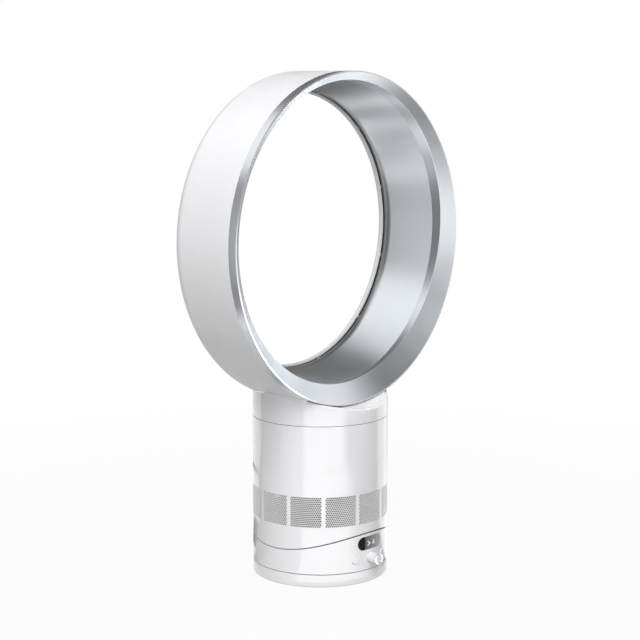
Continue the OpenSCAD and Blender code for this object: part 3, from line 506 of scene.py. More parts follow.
def metal(name, colour, roughness, brushed=(1, 1, 1)):
    """Bare metal with fine tool marks."""
    material, tree, principled = shader(name, colour, roughness, metallic=1.0)
    marks = noise(tree, TOOL_MARK_SCALE, 4, brushed)
    tree.links.new(uneven_colour(tree, marks, colour, *TOOL_MARK_SHADES), principled.inputs["Base Color"])
    uneven_roughness(tree, principled, marks, roughness, *TOOL_MARK_GLOSS)
    bump(tree, principled, marks, TOOL_MARK_HEIGHT)
    return material


def display_glass():
    """Smoked glass with a painted reflection: black over its left part, then lighter towards the right."""
    material, tree, principled = shader("display_black", SMOKED, GLASS_ROUGHNESS, coat=GLASS_COAT,
                                        specular=GLASS_SPECULAR)
    across = share_along(tree, "X", -DISPLAY_W / 2, DISPLAY_W / 2)
    # Painted reflection: the glass's colour lightens from black to grey across its width
    tree.links.new(colour_ramp(tree, across, DISPLAY_PAINTED_REFLECTION_STOPS), principled.inputs["Base Color"])
    uneven_roughness(tree, principled, noise(tree, GLASS_GLOSS_SCALE, 4), GLASS_ROUGHNESS, *GLASS_GLOSS)
    return material


WHITE = moulded("casing_white", (0.825, 0.825, 0.84), 0.16, variation=0.012, grain=900, height=2e-7, coat=0.6)
SATIN_WHITE = moulded("casing_white_satin", (0.815, 0.815, 0.83), 0.36, variation=0.012, grain=900,
                      height=5e-7, specular=0.3)
GRILLE_WHITE = moulded("grille_white", (0.78, 0.78, 0.79), 0.20, variation=0.015, grain=1500, height=1e-6,
                       coat=0.4)
SILVER_COLOUR = (0.825, 0.855, 0.885)
SILVER = lacquer("nozzle_silver", SILVER_COLOUR, 0.30)
# Painted shade: the inner casing's silver darkens across the throat towards the air slot, where shade falls
INNER_SILVER = lacquer("nozzle_silver_inner", SILVER_COLOUR, 0.30, THROAT_Y - 4 * MM, THROAT_Y + 4 * MM)
DISPLAY_GLASS = display_glass()
GLYPH = moulded("display_glyph", (0.86, 0.88, 0.90), 0.4, variation=0.02)
CHROME = metal("knob_chrome", (0.92, 0.92, 0.93), 0.30, (1, 12, 1))
FOOT_RUBBER = moulded("foot_rubber", (0.035, 0.035, 0.037), 0.72, variation=0.15, grain=1400, height=3e-5)
SEAL_RUBBER = moulded("seal_rubber", (0.05, 0.05, 0.055), 0.62, variation=0.12, grain=1600, height=2e-5)
GLAND_GREY = moulded("gland_grey", (0.34, 0.34, 0.35), 0.45, variation=0.06, height=1e-5)
BEARING = moulded("bearing_plastic", (0.72, 0.70, 0.64), 0.38, variation=0.04, height=8e-6)
FRAME_PLASTIC = moulded("frame_plastic", (0.62, 0.62, 0.63), 0.5, variation=0.05, height=1e-5)
AIR_PLASTIC = moulded("air_plastic", (0.10, 0.102, 0.105), 0.42, variation=0.04, height=8e-6)
STEEL = metal("steel", (0.62, 0.62, 0.63), 0.3)
CORE_STEEL = metal("core_steel", (0.40, 0.40, 0.41), 0.45, (1, 1, 30))
COPPER = metal("winding_copper", (0.74, 0.36, 0.18), 0.32, (1, 1, 24))
BOARD = moulded("board_green", (0.03, 0.16, 0.07), 0.36, variation=0.25, grain=600, height=2e-5)
COMPONENT = moulded("component_black", (0.03, 0.03, 0.032), 0.5, variation=0.15, height=1e-5)
FOAM = moulded("foam_grey", (0.09, 0.09, 0.095), 0.95, variation=0.3, grain=700, height=3e-4)

SLOT_MATERIAL = {
    "casing_white": WHITE, "grille_white": GRILLE_WHITE, "nozzle_silver": SILVER,
    "display_black": DISPLAY_GLASS, "knob_chrome": CHROME, "foot_rubber": FOOT_RUBBER,
    "seal_rubber": SEAL_RUBBER, "gland_grey": GLAND_GREY, "bearing_plastic": BEARING,
    "frame_plastic": FRAME_PLASTIC, "air_plastic": AIR_PLASTIC, "steel": STEEL,
    "core_steel": CORE_STEEL, "winding_copper": COPPER, "board_green": BOARD,
    "component_black": COMPONENT, "foam_grey": FOAM}

for part in frame["record"]["subparts"]:
    node_mesh = frame["nodes"][part["node"]].data
    node_mesh.materials.clear()
    node_mesh.materials.append(SLOT_MATERIAL[part["material_slot"]])


# Foot and control base

def seam_height(r, angle, tilt_radius):
    """Height of a tilt surface at a radius and an angle from the front."""
    return TILT_Z - math.sqrt(tilt_radius ** 2 - (r * math.cos(angle)) ** 2)


def foot_outline(_):
    top = FOOT_SEAM_Z - MOVING_SEAM / 2
    groove_in, groove_out = PAD_HIGH.x - PAD_W - FIT, PAD_HIGH.x + FIT
    floor_top = FOOT_LOW + FOOT_FLOOR_T
    return rounded_outline([
        (0, FOOT_LOW, 0), (groove_in, FOOT_LOW, 0), (groove_in, PAD_HIGH.z, 0), (groove_out, PAD_HIGH.z, 0),
        (groove_out, FOOT_LOW, 0), (BODY_R, FOOT_LOW, FOOT_EDGE_R), (BODY_R, top, EDGE_R),
        (WALL_IN_R, top, 0), (WALL_IN_R, floor_top, 0), (0, floor_top, 0)])


def pad_outline(_):
    inner = PAD_HIGH.x - PAD_W
    return rounded_outline([
        (inner, PAD_LOW.z, PAD_EDGE_R), (PAD_HIGH.x, PAD_LOW.z, PAD_EDGE_R), (PAD_HIGH.x, PAD_HIGH.z, 0),
        (inner, PAD_HIGH.z, 0)])


def casing_outline(angle):
    saddle = TILT_R + MOVING_SEAM / 2
    return rounded_outline([
        (WALL_IN_R, BASE_LOW, 0), (BODY_R, BASE_LOW, EDGE_R),
        (BODY_R, seam_height(BODY_R, angle, saddle), EDGE_R),
        (WALL_IN_R, seam_height(WALL_IN_R, angle, saddle), 0)])


def pill(half_w, half_h, steps=24):
    """Outline points (x, z) of a pill about its centre."""
    straight = half_w - half_h
    right = arc(straight, 0, half_h, -math.pi / 2, math.pi / 2, steps)
    left = arc(-straight, 0, half_h, math.pi / 2, 3 * math.pi / 2, steps)
    return right + left


def control_hole(outline, x, z):
    """A cutter through the front wall of the casing."""
    return along_y(outline, x, z, -BODY_R - 5 * MM, -BODY_R + 12 * MM)


foot = piece("foot_cup", about_z(foot_outline, even_angles()), "foot", WHITE, ["foot_shell"])
cut(foot, along_y(circle(GLAND_HIGH.x + FIT), 0, (GLAND_LOW.z + GLAND_HIGH.z) / 2,
                  BODY_R - 4 * MM, BODY_R + 5 * MM))
round_normals(foot, FOOT_LOW + FOOT_EDGE_R - HAIR, FOOT_SEAM_Z)

piece("foot_ring", about_z(pad_outline, even_angles()), "foot", FOOT_RUBBER, ["foot_pad"])

casing = piece("control_ring", about_z(casing_outline, even_angles()), "control_base", WHITE,
               ["control_casing"])
cut(casing, control_hole(pill(DISPLAY_W / 2 + FIT, DISPLAY_H / 2 + FIT), 0, DISPLAY_Z),
    control_hole(circle(KNOB_R + KNOB_PLAY), 0, CONTROLS_Z),
    control_hole(circle(BUTTON_R + BUTTON_PLAY), -BUTTON_X, CONTROLS_Z),
    control_hole(circle(BUTTON_R + BUTTON_PLAY), BUTTON_X, CONTROLS_Z))
round_normals(casing, BASE_LOW, BODY_TOP)


# Display, knob and buttons

def on_cylinder(r, x, z):
    """The point at x and z on the front of a cylinder about the Z axis."""
    return (x, -math.sqrt(r * r - x * x), z)


def display_mesh():
    """The window: a pill on the casing's cylinder, with a small rounded edge."""
    rings = [(0, DISPLAY_T), (0, DISPLAY_EDGE_R)] + quarter_round(DISPLAY_EDGE_R)
    sections = []
    for inset, depth in rings:
        outline = pill(DISPLAY_W / 2 - inset, DISPLAY_H / 2 - inset)
        sections.append([on_cylinder(BODY_R - depth, x, DISPLAY_Z + z) for x, z in outline])
    verts, faces = loft(sections, ring=False, caps=False)
    # The caps, in columns that join a point of the lower edge to the point of the upper edge above it
    columns = {}
    for j in sorted(range(len(outline)), key=lambda j: (round(outline[j][0], 7), outline[j][1])):
        columns.setdefault(round(outline[j][0], 6), []).append(j)
    xs = sorted(columns)
    for first in (0, len(verts) - len(outline)):
        for a, b in zip(xs, xs[1:]):
            faces.append(tuple(first + j for j in columns[a] + columns[b][::-1]))
    return verts, faces


def stroke(points, width, r, height):
    """A flat line of even width along points (x, z), standing a little proud of a cylinder."""
    verts, faces = [], []
    for (x0, z0), (x1, z1) in zip(points, points[1:]):
        along = Vector((x1 - x0, z1 - z0)).normalized() * width / 2
        side = Vector((-along.y, along.x))
        start, end = Vector((x0, z0)) - along, Vector((x1, z1)) + along
        faces += block_faces(len(verts))
        for level in (r, r + height):
            verts += [on_cylinder(level, *corner)
                      for corner in (start + side, end + side, end - side, start - side)]
    return verts, faces


def glyph(name, x, z, width, places):
    """A line of the display through places in millimetres from (x, z)."""
    points = [(x + across * MM, z + up * MM) for across, up in places]
    piece(name, stroke(points, width, BODY_R - GLYPH_SUNK, GLYPH_T), "control_base", GLYPH)


def button_mesh(x):
    """A round cap whose face follows the casing's curve, with a rounded edge and a faint dish."""
    rings = [(BUTTON_R, BUTTON_OUT + BUTTON_BACK), (BUTTON_R, BUTTON_EDGE_R)]
    rings += [(BUTTON_R - inset, depth) for inset, depth in quarter_round(BUTTON_EDGE_R)]
    rings += [(BUTTON_R * k, BUTTON_DISH * (1 - (k / BUTTON_DISH_SHARE) ** 2)) for k in (0.7, 0.5, 0.25, 0)]
    return loft([[on_cylinder(BODY_R + BUTTON_OUT - depth, x + u, CONTROLS_Z + v)
                  for u, v in circle(r, BUTTON_AROUND)] for r, depth in rings], ring=False)


piece("display_pill", display_mesh(), "control_base", DISPLAY_GLASS, ["display_window"],
      sharp=50)
glyph("display_chevron", CHEVRON_X, CHEVRON_Z, CHEVRON_W, [(-1.5, 2.0), (1.2, 0), (-1.5, -2.0)])
glyph("display_digit", DIGIT_X, DIGIT_Z, DIGIT_W, [(0.9, -2.5), (0.9, 2.5), (-1.9, -1.2), (2.0, -1.2)])

knob_profile = rounded_outline([
    (0, KNOB_FRONT_Y + KNOB_FACE_SUNK, 0), (KNOB_FACE_R, KNOB_FRONT_Y + KNOB_FACE_SUNK, 0.3 * MM),
    (KNOB_RING_IN_R, KNOB_RING_BACK_Y, 0), (KNOB_R, KNOB_RING_BACK_Y, 0),
    (KNOB_R, KNOB_BACK_Y, 0), (0, KNOB_BACK_Y, 0)])
piece("speed_knob_body", about_y(lambda _: knob_profile, CONTROLS_Z, KNOB_AROUND), "knob",
      WHITE, ["speed_knob"])
ring_profile = rounded_outline([
    (KNOB_RING_IN_R, KNOB_RING_FRONT_Y, 0.25 * MM), (KNOB_RING_OUT_R, KNOB_RING_FRONT_Y, 0.6 * MM),
    (KNOB_RING_OUT_R, KNOB_RING_BACK_Y, 0.15 * MM), (KNOB_RING_IN_R, KNOB_RING_BACK_Y, 0)])
piece("speed_knob_rim", about_y(lambda _: ring_profile, CONTROLS_Z, KNOB_AROUND), "knob",
      CHROME, ["knob_ring"])

piece("power_button_cap", button_mesh(-BUTTON_X), "left_button", WHITE, ["power_button"])
piece("oscillation_button_cap", button_mesh(BUTTON_X), "right_button", WHITE,
      ["oscillation_button"])


# Body with its grille

def body_outline(angle):
    carriage = TILT_R - MOVING_SEAM / 2
    return rounded_outline([
        (WALL_IN_R, seam_height(WALL_IN_R, angle, carriage), 0),
        (BODY_R, seam_height(BODY_R, angle, carriage), EDGE_R),
        (BODY_R, BODY_TOP, NECK_SEAM_EDGE_R), (WALL_IN_R, BODY_TOP, 0)])


def panel_cutters():
    """One mesh of blocks that open the body's windows."""
    verts, faces = [], []
    inside, outside = BODY_R - 5 * MM, BODY_R + 3 * MM
    for middle in even_angles(PANELS):
        faces += block_faces(len(verts))
        for z in (GRILLE_LOW.z, GRILLE_HIGH.z):
            for r, side in ((inside, -1), (outside, -1), (outside, 1), (inside, 1)):
                a = middle + side * PANEL_HALF
                verts.append((r * math.sin(a), -r * math.cos(a), z))
    return verts, faces


def grille_mesh():
    """Panels of staggered round holes. Each hole sits in its own brick of the panel."""
    width = 2 * (PANEL_HALF * BODY_R - PANEL_FIT)
    low, high = GRILLE_LOW.z + PANEL_FIT, GRILLE_HIGH.z - PANEL_FIT
    left, right = -width / 2, width / 2
    pitch = width / (HOLE_COLUMNS + 0.5)
    rise = (high - low) / HOLE_ROWS
    # A brick's outline in shares of the pitch and the rise, with a point for each side of its hole
    square = [(0.5, 0), (0.5, 0.5), (0.25, 0.5), (0, 0.5), (-0.25, 0.5), (-0.5, 0.5),
              (-0.5, 0), (-0.5, -0.5), (-0.25, -0.5), (0, -0.5), (0.25, -0.5), (0.5, -0.5)]
    round_hole = circle(HOLE_R, len(square))
    verts, index, faces = [], {}, []

    def vert(middle, u, z, layer):
        """Index of the point at a place along and up a panel, on its face (layer 0) or its back (1)."""
        key = (round(middle, 4), round(u, 7), round(z, 7), layer)
        if key not in index:
            r = BODY_R - layer * PANEL_T
            a = middle + u / BODY_R
            index[key] = len(verts)
            verts.append((r * math.sin(a), -r * math.cos(a), z))
        return index[key]

    def brick(middle, u, z):
        rows = []
        for layer in (0, 1):
            rows.append([vert(middle, u + su * pitch, z + sz * rise, layer) for su, sz in square])
            rows.append([vert(middle, u + hu, z + hz, layer) for hu, hz in round_hole])
        outer, hole, back, back_hole = rows
        for k in range(len(square)):
            n = (k + 1) % len(square)
            faces.append((outer[k], outer[n], hole[n], hole[k]))
            faces.append((hole[k], hole[n], back_hole[n], back_hole[k]))
            faces.append((back[n], back[k], back_hole[k], back_hole[n]))

    def filler(middle, u0, u2, z0, z2):
        """A half brick without a hole at a row's end, with points to match its neighbours."""
        u1, z1 = (u0 + u2) / 2, (z0 + z2) / 2
        outline = [(u0, z0), (u1, z0), (u2, z0), (u2, z1), (u2, z2), (u1, z2), (u0, z2), (u0, z1)]
        faces.append(tuple(vert(middle, u, z, 0) for u, z in outline))
        faces.append(tuple(vert(middle, u, z, 1) for u, z in outline[::-1]))

    def edge(middle, places):
        """A panel's edge along places (u, z), from its face to its back."""
        for one, two in zip(places, places[1:]):
            faces.append((vert(middle, *one, 0), vert(middle, *two, 0),
                          vert(middle, *two, 1), vert(middle, *one, 1)))

    for middle in even_angles(PANELS):
        for row in range(HOLE_ROWS):
            z0 = low + row * rise
            shift = (row % 2) * pitch / 2
            for column in range(HOLE_COLUMNS):
                brick(middle, left + shift + (column + 0.5) * pitch, z0 + rise / 2)
            start = left if shift else right - pitch / 2
            filler(middle, start, start + pitch / 2, z0, z0 + rise)
        levels = [low + rise * j / 2 for j in range(2 * HOLE_ROWS + 1)]
        steps = [left + pitch * j / 4 for j in range(4 * HOLE_COLUMNS + 3)]
        for u in (left, right):
            edge(middle, [(u, z) for z in levels])
        for z in (low, high):
            edge(middle, [(u, z) for u in steps])
    return verts, faces


body = piece("body_cylinder", about_z(body_outline, even_angles()), "fan_head", WHITE,
             ["body_shell"])
cut(body, panel_cutters())
round_normals(body, 0, BODY_TOP)

piece("grille_panels", grille_mesh(), "fan_head", GRILLE_WHITE, ["intake_grille"], sharp=40)


# Ring

def from_inner(angle, r):
    """Distance from the ring's axis, at an angle about it, of a circle of radius r about the inner axis."""
    offset = INNER_Z - RING_Z
    return offset * math.sin(angle) + math.sqrt(r * r - (offset * math.cos(angle)) ** 2)


def lip_arc(angle, r, steps=8):
    """The rounding of the back lip, from its inner face to its back, at a radius about its own centre."""
    centre_r, centre_y = LIP_R + LIP_EDGE_R, BACK_Y - LIP_EDGE_R
    return [(from_inner(angle, centre_r - r * math.cos(math.pi / 2 * k / steps)),
             centre_y + r * math.sin(math.pi / 2 * k / steps)) for k in range(steps + 1)]


def shell_outline(angle):
    """The white casing: from its front edge over the rounded back to the lip, and back along the inside."""
    curve_at = RING_R - BACK_EDGE_R
    outer = arc(RING_R - SHELL_EDGE_R, SHELL_FRONT_Y + SHELL_EDGE_R, SHELL_EDGE_R, -math.pi / 2, 0,
                SHELL_EDGE_STEPS)
    outer += arc(curve_at, REAR_CURVE_Y, BACK_EDGE_R, 0, math.pi / 2, BACK_CURVE_STEPS)
    outer += lip_arc(angle, LIP_EDGE_R)[::-1]
    outer += [(from_inner(angle, LIP_R), LIP_FRONT_Y), (from_inner(angle, LIP_R + RING_WALL), LIP_FRONT_Y)]
    inner = lip_arc(angle, LIP_EDGE_R - RING_WALL)
    inner += arc(curve_at, REAR_CURVE_Y, BACK_EDGE_R - RING_WALL, math.pi / 2, 0, BACK_CURVE_INSIDE_STEPS)
    inner += [(RING_R - RING_WALL, SHELL_FRONT_Y)]
    return outer + inner


def trim_outline(angle):
    """The silver front: its rim, its face that slopes in to the step, and its tongue inside the casing."""
    face_out = RING_R - RIM_W
    seam_y = SHELL_FRONT_Y - TRIM_SEAM
    step = from_inner(angle, STEP_R)
    tongue = RING_R - RING_WALL - FIT

    def face_y(r):
        return RIM_Y + FACE_SLOPE * (face_out - r)

    return rounded_outline([
        (RING_R, seam_y, TRIM_SEAM_EDGE_R), (RING_R, RIM_Y, RIM_EDGE_R), (face_out, RIM_Y, RIM_EDGE_R),
        (step, face_y(step), STEP_EDGE_R), (step, STEP_Y, 0), (step + TRIM_T, STEP_Y, 0),
        (step + TRIM_T, face_y(step + TRIM_T) + TRIM_T_ALONG_Y, 0),
        (tongue, face_y(tongue) + TRIM_T_ALONG_Y, 0), (tongue, seam_y, 0)], steps=4)


def inner_outline(_):
    """The silver inner casing: a cone from the front edge to the throat, then the curved surface behind."""
    front = Vector((DIFFUSER_FRONT_R, STEP_Y))
    centre = Vector((THROAT_R + COANDA_R, THROAT_Y))
    away = centre - front
    lead = math.asin(COANDA_R / away.length) - math.atan(away.x / away.y)
    start, stop = math.pi + lead, math.pi - COANDA_END
    inside = arc(centre.x, centre.y, COANDA_R, start, stop, COANDA_STEPS)
    outside = arc(centre.x, centre.y, COANDA_R - INNER_T, stop, start, COANDA_STEPS)
    end = Vector(inside[0])
    cone = [tuple(front.lerp(end, k / CONE_STEPS)) for k in range(CONE_STEPS)]
    corner = front + Vector(outside[-1]) - end
    return cone + inside + outside + [tuple(corner)]


piece("ring_shell", about_y(shell_outline, RING_Z), "fan_head", SATIN_WHITE,
      ["nozzle_outer_shell", "nozzle_rear_shell"])
piece("ring_front_trim", about_y(trim_outline, RING_Z), "fan_head", SILVER,
      ["nozzle_front_trim"])
piece("ring_inner_shell", about_y(inner_outline, INNER_Z), "fan_head", INNER_SILVER,
      ["nozzle_inner_shell"])


# Neck

def neck_top_radius(angle):
    """Distance of the neck's top from the ring's axis: clear in front, hidden beside it, proud behind it."""
    a = abs(angle)
    if a < FRONT_END:
        return SADDLE_R
    return NECK_EMBED_R + (NECK_BACK_R - NECK_EMBED_R) * smoothstep(BACK_START, BACK_END, a)


def neck_outline(angle):
    """The neck's wall with a shelf that reaches in under the ring, in front of it and behind it."""
    a = abs(angle)
    top_r = neck_top_radius(angle)
    reach = WALL_IN_R
    if a < FRONT_END:
        reach = min(NECK_FRONT_REACH / math.cos(a), WALL_IN_R)
    elif a > math.pi / 2:
        reach = min(NECK_BACK_REACH / -math.cos(a), WALL_IN_R)

    def top(r, down=0.0):
        return RING_Z - math.sqrt((top_r + down) ** 2 - (r * math.sin(angle)) ** 2)

    edge = NECK_EDGE_R if a < FRONT_END or a > BACK_END else NECK_HIDDEN_EDGE_R
    shelf = [BODY_R + (reach - BODY_R) * k / SHELF_STEPS for k in range(SHELF_STEPS + 1)]
    corners = [(WALL_IN_R, NECK_LOW, 0), (BODY_R, NECK_LOW, NECK_SEAM_EDGE_R), (BODY_R, top(BODY_R), edge)]
    corners += [(r, top(r), 0) for r in shelf[1:]]
    corners += [(r, top(r, WALL), 0) for r in shelf[:0:-1]]
    corners += [(WALL_IN_R, top(WALL_IN_R, WALL), 0)]
    return rounded_outline(corners)


def neck_angles():
    """Even angles, and two close together on each side where the neck's front part ends."""
    step = 2 * math.pi / AROUND
    apart = 1e-4
    angles = [k * step for k in range(-AROUND // 2, AROUND // 2)]
    angles += [side * mark for mark in (FRONT_END - apart, FRONT_END + apart) for side in (-1, 1)]
    return sorted(angles)


def fillet_radius(a):
    """Radius of the fillet's ball. It stays behind the ring's front seam and thins out towards the back."""
    ball = FILLET_R
    if a < math.pi / 2:
        ball = min(ball, (-SHELL_FRONT_Y - FIT) / max(math.cos(a), 0.01) - BODY_R)
    return max(FILLET_LEAST_R, ball * (1 - FILLET_THINNED * smoothstep(FILLET_THIN_FROM, FILLET_END, a)))


def fillet_mesh(side, count=56, steps=10):
    """The smooth hollow between the neck's side and the ring, as a ball rolls along both."""
    sections = []
    for k in range(count + 1):
        a = FILLET_START + (FILLET_END - FILLET_START) * k / count
        ball = fillet_radius(a)
        ahead = Vector((math.sin(a), -math.cos(a), 0))
        centre = (BODY_R + ball) * ahead
        if centre.y < REAR_CURVE_Y:
            from_axis = RING_R + ball
        else:
            from_axis = RING_R - BACK_EDGE_R + math.sqrt((BACK_EDGE_R + ball) ** 2
                                                         - (centre.y - REAR_CURVE_Y) ** 2)
        centre.z = RING_Z - math.sqrt(from_axis * from_axis - centre.x * centre.x)
        out = Vector((centre.x, 0, centre.z - RING_Z)).normalized()
        if centre.y < REAR_CURVE_Y:
            to_ring = -out
        else:
            seat = Vector((0, REAR_CURVE_Y, RING_Z)) + out * (RING_R - BACK_EDGE_R)
            to_ring = (seat - centre).normalized()
        points = [centre + ball * (-ahead).slerp(to_ring, j / steps) for j in range(steps + 1)]
        # Two hidden points, inside the ring and inside the neck, that close the section
        in_ring = points[-1] + (points[-1] - centre).normalized() * FILLET_SUNK
        in_neck = (BODY_R - FILLET_SUNK) * ahead
        in_neck.z = max(points[0].z, in_ring.z - 0.2 * MM)
        sections.append([(side * p.x, p.y, p.z) for p in points + [in_ring, in_neck]])
    return loft(sections, ring=False)


piece("ring_neck", about_z(neck_outline, neck_angles()), "fan_head", WHITE, ["nozzle_neck"])
for side, name in ((-1, "neck_fillet_left"), (1, "neck_fillet_right")):
    piece(name, fillet_mesh(side), "fan_head", WHITE)


# Studio. Its distances, heights and sizes are in metres and its azimuths in degrees

PURE_WHITE = (1, 1, 1, 1)
FLOOR_HALF = 14
FLOOR_ALBEDO = 0.45
FLOOR_ROUGHNESS = 0.9
FLOOR_SPECULAR = 0.1
# How much of the floor is white, near the fan and far from it, and the distances of both
WHITE_NEAR, WHITE_FAR = 0.95, 1.0
FADE_NEAR, FADE_FAR = 0.25, 1.3
WORLD_LIGHT = 0.56
AIM_HEIGHT = 0.28
# A card has a column every so many degrees, and so many rows between two of its places
CARD_COLUMN, CARD_ROWS = 2, 8
CAMERA_AT = (-1.3063, -1.1811, 0.5381)
CAMERA_TILT = math.radians(81.64)
CAMERA_TURN = math.radians(-47.88)
SENSOR_MM = 36
LENS_MM = 92


def emission(tree, strength):
    node = tree.nodes.new("ShaderNodeEmission")
    node.inputs["Color"].default_value = PURE_WHITE
    node.inputs["Strength"].default_value = strength
    return node.outputs["Emission"]


def mix_into(tree, output, share, first, second):
    """Mixes two shaders by a share and shows the result."""
    mix = tree.nodes.new("ShaderNodeMixShader")
    tree.links.new(share, mix.inputs["Fac"])
    tree.links.new(first, mix.inputs[1])
    tree.links.new(second, mix.inputs[2])
    tree.links.new(mix.outputs["Shader"], tree.nodes[output].inputs["Surface"])


def seen_directly(tree):
    """1 for rays from the camera and for reflected or refracted rays, 0 for the rest."""
    path = tree.nodes.new("ShaderNodeLightPath")
    mirrored = combine(tree, "MAXIMUM", path.outputs["Is Camera Ray"], path.outputs["Is Glossy Ray"])
    return combine(tree, "MAXIMUM", mirrored, path.outputs["Is Transmission Ray"])


def floor_material():
    """A white floor. It keeps the shadow near the fan, and further off it turns into the white background."""
    material, tree, principled = shader("floor_white", (FLOOR_ALBEDO,) * 3, FLOOR_ROUGHNESS,
                                        specular=FLOOR_SPECULAR)
    place = tree.nodes.new("ShaderNodeTexCoord")
    distance = tree.nodes.new("ShaderNodeVectorMath")
    distance.operation = "LENGTH"
    tree.links.new(place.outputs["Object"], distance.inputs[0])
    whiteness = map_range(tree, distance.outputs["Value"], FADE_NEAR, FADE_FAR, WHITE_NEAR, WHITE_FAR,
                          "SMOOTHSTEP")
    share = combine(tree, "MULTIPLY", whiteness, seen_directly(tree))
    mix_into(tree, "Material Output", share, principled.outputs["BSDF"], emission(tree, 1))
    return material


def card_material(name, level):
    """An even glow, as far as the card's cover goes."""
    material = bpy.data.materials.new(name)
    material.use_nodes = True
    tree = material.node_tree
    cover = tree.nodes.new("ShaderNodeAttribute")
    cover.attribute_name = "cover"
    clear = tree.nodes.new("ShaderNodeBsdfTransparent")
    mix_into(tree, "Material Output", cover.outputs["Fac"], clear.outputs["BSDF"], emission(tree, level))
    return material


def on_stage(azimuth, distance, z):
    """A place round the fan. Azimuth 0 is in front of it and grows towards +X."""
    a = math.radians(azimuth)
    return Vector((distance * math.sin(a), -distance * math.cos(a), z))


def softbox(name, azimuth, elevation, distance, width, height, level):
    """A rectangular lamp that faces the fan, with the radiance it shows in a mirror."""
    light = bpy.data.lights.new(name, "AREA")
    light.shape = "RECTANGLE"
    light.size, light.size_y = width, height
    light.energy = level * math.pi * width * height
    lamp = new_object(name, light)
    target = Vector((0, 0, AIM_HEIGHT))
    e = math.radians(elevation)
    lamp.location = on_stage(azimuth, distance * math.cos(e), target.z + distance * math.sin(e))
    lamp.rotation_euler = (target - lamp.location).to_track_quat("-Z", "Y").to_euler()


def fade(inside, width):
    """0 at an edge and 1 further in than a width."""
    return smoothstep(0, width, inside) if width else 1.0


def card(name, start, end, places, level, fade_in=0, fade_out=0, fade_top=0.0):
    """A curved reflector or flag that stands or lies round the fan and shows only in its gloss.

    It runs between two azimuths, through places given as (distance, height). It fades over so many degrees
    at its start and at its end, and over a share of its rows at the last place.
    """
    rows = []
    for one, two in zip(places, places[1:]):
        rows += [tuple(p + (q - p) * k / CARD_ROWS for p, q in zip(one, two)) for k in range(CARD_ROWS)]
    rows.append(places[-1])
    columns = int((end - start) / CARD_COLUMN)
    verts, faces, cover = [], [], []
    for k in range(columns + 1):
        azimuth = start + (end - start) * k / columns
        verts += [on_stage(azimuth, *place) for place in rows]
        side = min(fade(azimuth - start, fade_in), fade(end - azimuth, fade_out))
        cover += [side * fade(1 - j / (len(rows) - 1), fade_top) for j in range(len(rows))]
        if k:
            left, right = (k - 1) * len(rows), k * len(rows)
            faces += [(left + j, right + j, right + j + 1, left + j + 1) for j in range(len(rows) - 1)]
    mesh = bpy.data.meshes.new(name)
    mesh.from_pydata(verts, [], faces)
    mesh.attributes.new("cover", "FLOAT", "POINT").data.foreach_set("value", cover)
    mesh.materials.append(card_material(name, level))
    obj = new_object(name, mesh)
    obj.visible_camera = False
    obj.visible_diffuse = False
    obj.visible_transmission = False
    obj.visible_shadow = False


floor_corners = [(x * FLOOR_HALF, y * FLOOR_HALF, 0) for x, y in ((-1, -1), (1, -1), (1, 1), (-1, 1))]
floor_mesh = bpy.data.meshes.new("floor")
floor_mesh.from_pydata(floor_corners, [], [(0, 1, 2, 3)])
floor_mesh.materials.append(floor_material())
new_object("floor", floor_mesh)

softbox("key_softbox", azimuth=-48, elevation=45, distance=2.6, width=2.4, height=1.8, level=4.1)
# Places (distance, height) that several cards share: low over the floor, and further off
LOW = [(0.09, 0.0015), (0.45, 0.0015), (0.45, 0.035)]
FAR_LOW = [(0.60, 0.001), (0.60, 0.085)]
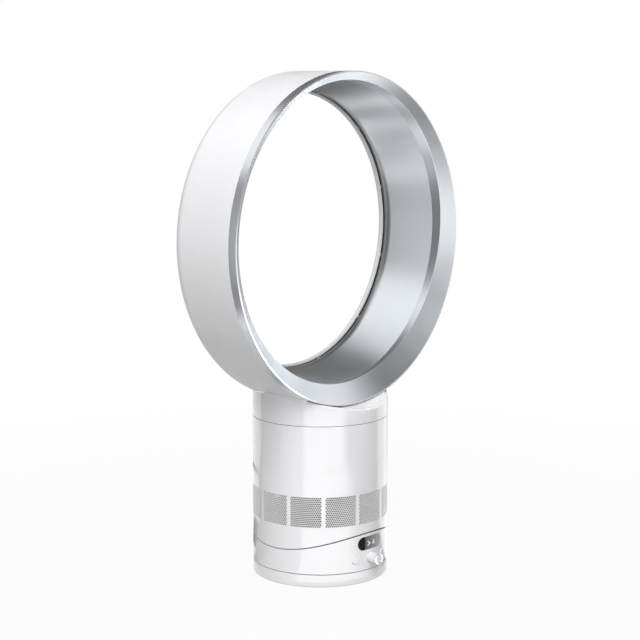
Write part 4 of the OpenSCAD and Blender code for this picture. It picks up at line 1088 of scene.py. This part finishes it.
# Name, azimuths from and to, places, level, and the fades at the start, at the end and at the last place
for sheet in [
        ("left_reflector", -106, -74, LOW, 1.5, 18, 0),
        ("left_far_reflector", -106, -74, FAR_LOW, 1.5, 18, 0),
        ("front_reflector", -74, 14, LOW, 3.2, 0, 26),
        ("front_far_reflector", -74, -2, FAR_LOW, 3.2, 0, 12),
        ("front_right_flag", 2, 60, LOW, 0.1, 54, 3),
        ("front_right_far_flag", 2, 60, FAR_LOW, 0.1, 54, 3),
        ("right_reflector", 60, 106, LOW, 1.6, 5, 12),
        ("right_far_reflector", 60, 106, FAR_LOW, 1.6, 5, 12),
        ("front_floor_flag", -42, 52, [(0.40, 0.002), (0.95, 0.002)], 0.15, 14, 14),
        ("upper_front_flag", -60, 66, [(0.55, 0.42), (0.55, 1.45)], 0.12, 18, 18, 0.1),
        ("left_flag", -163, -102, [(0.50, 0.012), (0.50, 0.74)], 0.13, 5, 21, 0.12),
        ("left_floor_flag", -163, -118, [(0.09, 0.0025), (0.38, 0.0025), (0.38, 0.04)], 0.4, 5, 22),
        ("rear_flag", 152, 200, [(0.80, 0.26), (0.80, 0.62)], 0.0, 8, 6, 0.1),
        ("left_rear_reflector", 134, 196, [(0.26, 0.0032), (0.36, 0.0032), (0.36, 0.035)], 1.2, 3, 3),
        ("left_rear_far_reflector", 158, 196, [(0.52, 0.001), (0.52, 0.085)], 1.2, 3, 3),
        ("left_edge_reflector", 134, 158, [(0.52, 0.001), (0.52, 0.03)], 1.2, 2, 0),
        ("rear_floor_flag", 140, 206, [(0.37, 0.0035), (0.62, 0.0035)], 0.1, 6, 6),
        ("rear_near_flag", 168, 200, [(0.13, 0.0035), (0.25, 0.0035)], 0.1, 4, 4),
        ("rear_right_flag", 112, 190, [(0.55, 0.16), (0.55, 1.45)], 0.1, 10, 14, 0.1),
        ("rear_right_floor_flag", 112, 140, [(0.42, 0.0035), (1.20, 0.0035)], 0.1, 8, 4),
        ("rear_right_near_flag", 136, 158, [(0.19, 0.004), (0.36, 0.004)], 0.0, 4, 3)]:
    card(*sheet)

# The world lights the fan less than the white that is seen in and around it
world = bpy.data.worlds.new("studio")
bpy.context.scene.world = world
world.use_nodes = True
sky = world.node_tree
dim = sky.nodes["Background"]
bright = sky.nodes.new("ShaderNodeBackground")
for background, strength in ((dim, WORLD_LIGHT), (bright, 1)):
    background.inputs["Color"].default_value = PURE_WHITE
    background.inputs["Strength"].default_value = strength
mix_into(sky, "World Output", seen_directly(sky), dim.outputs["Background"], bright.outputs["Background"])

camera_data = bpy.data.cameras.new("camera")
camera_data.sensor_width = SENSOR_MM
camera_data.lens = LENS_MM
camera = new_object("camera", camera_data)
camera.location = CAMERA_AT
camera.rotation_euler = (CAMERA_TILT, 0, CAMERA_TURN)
bpy.context.scene.camera = camera
bpy.context.scene.view_settings.view_transform = "Standard"
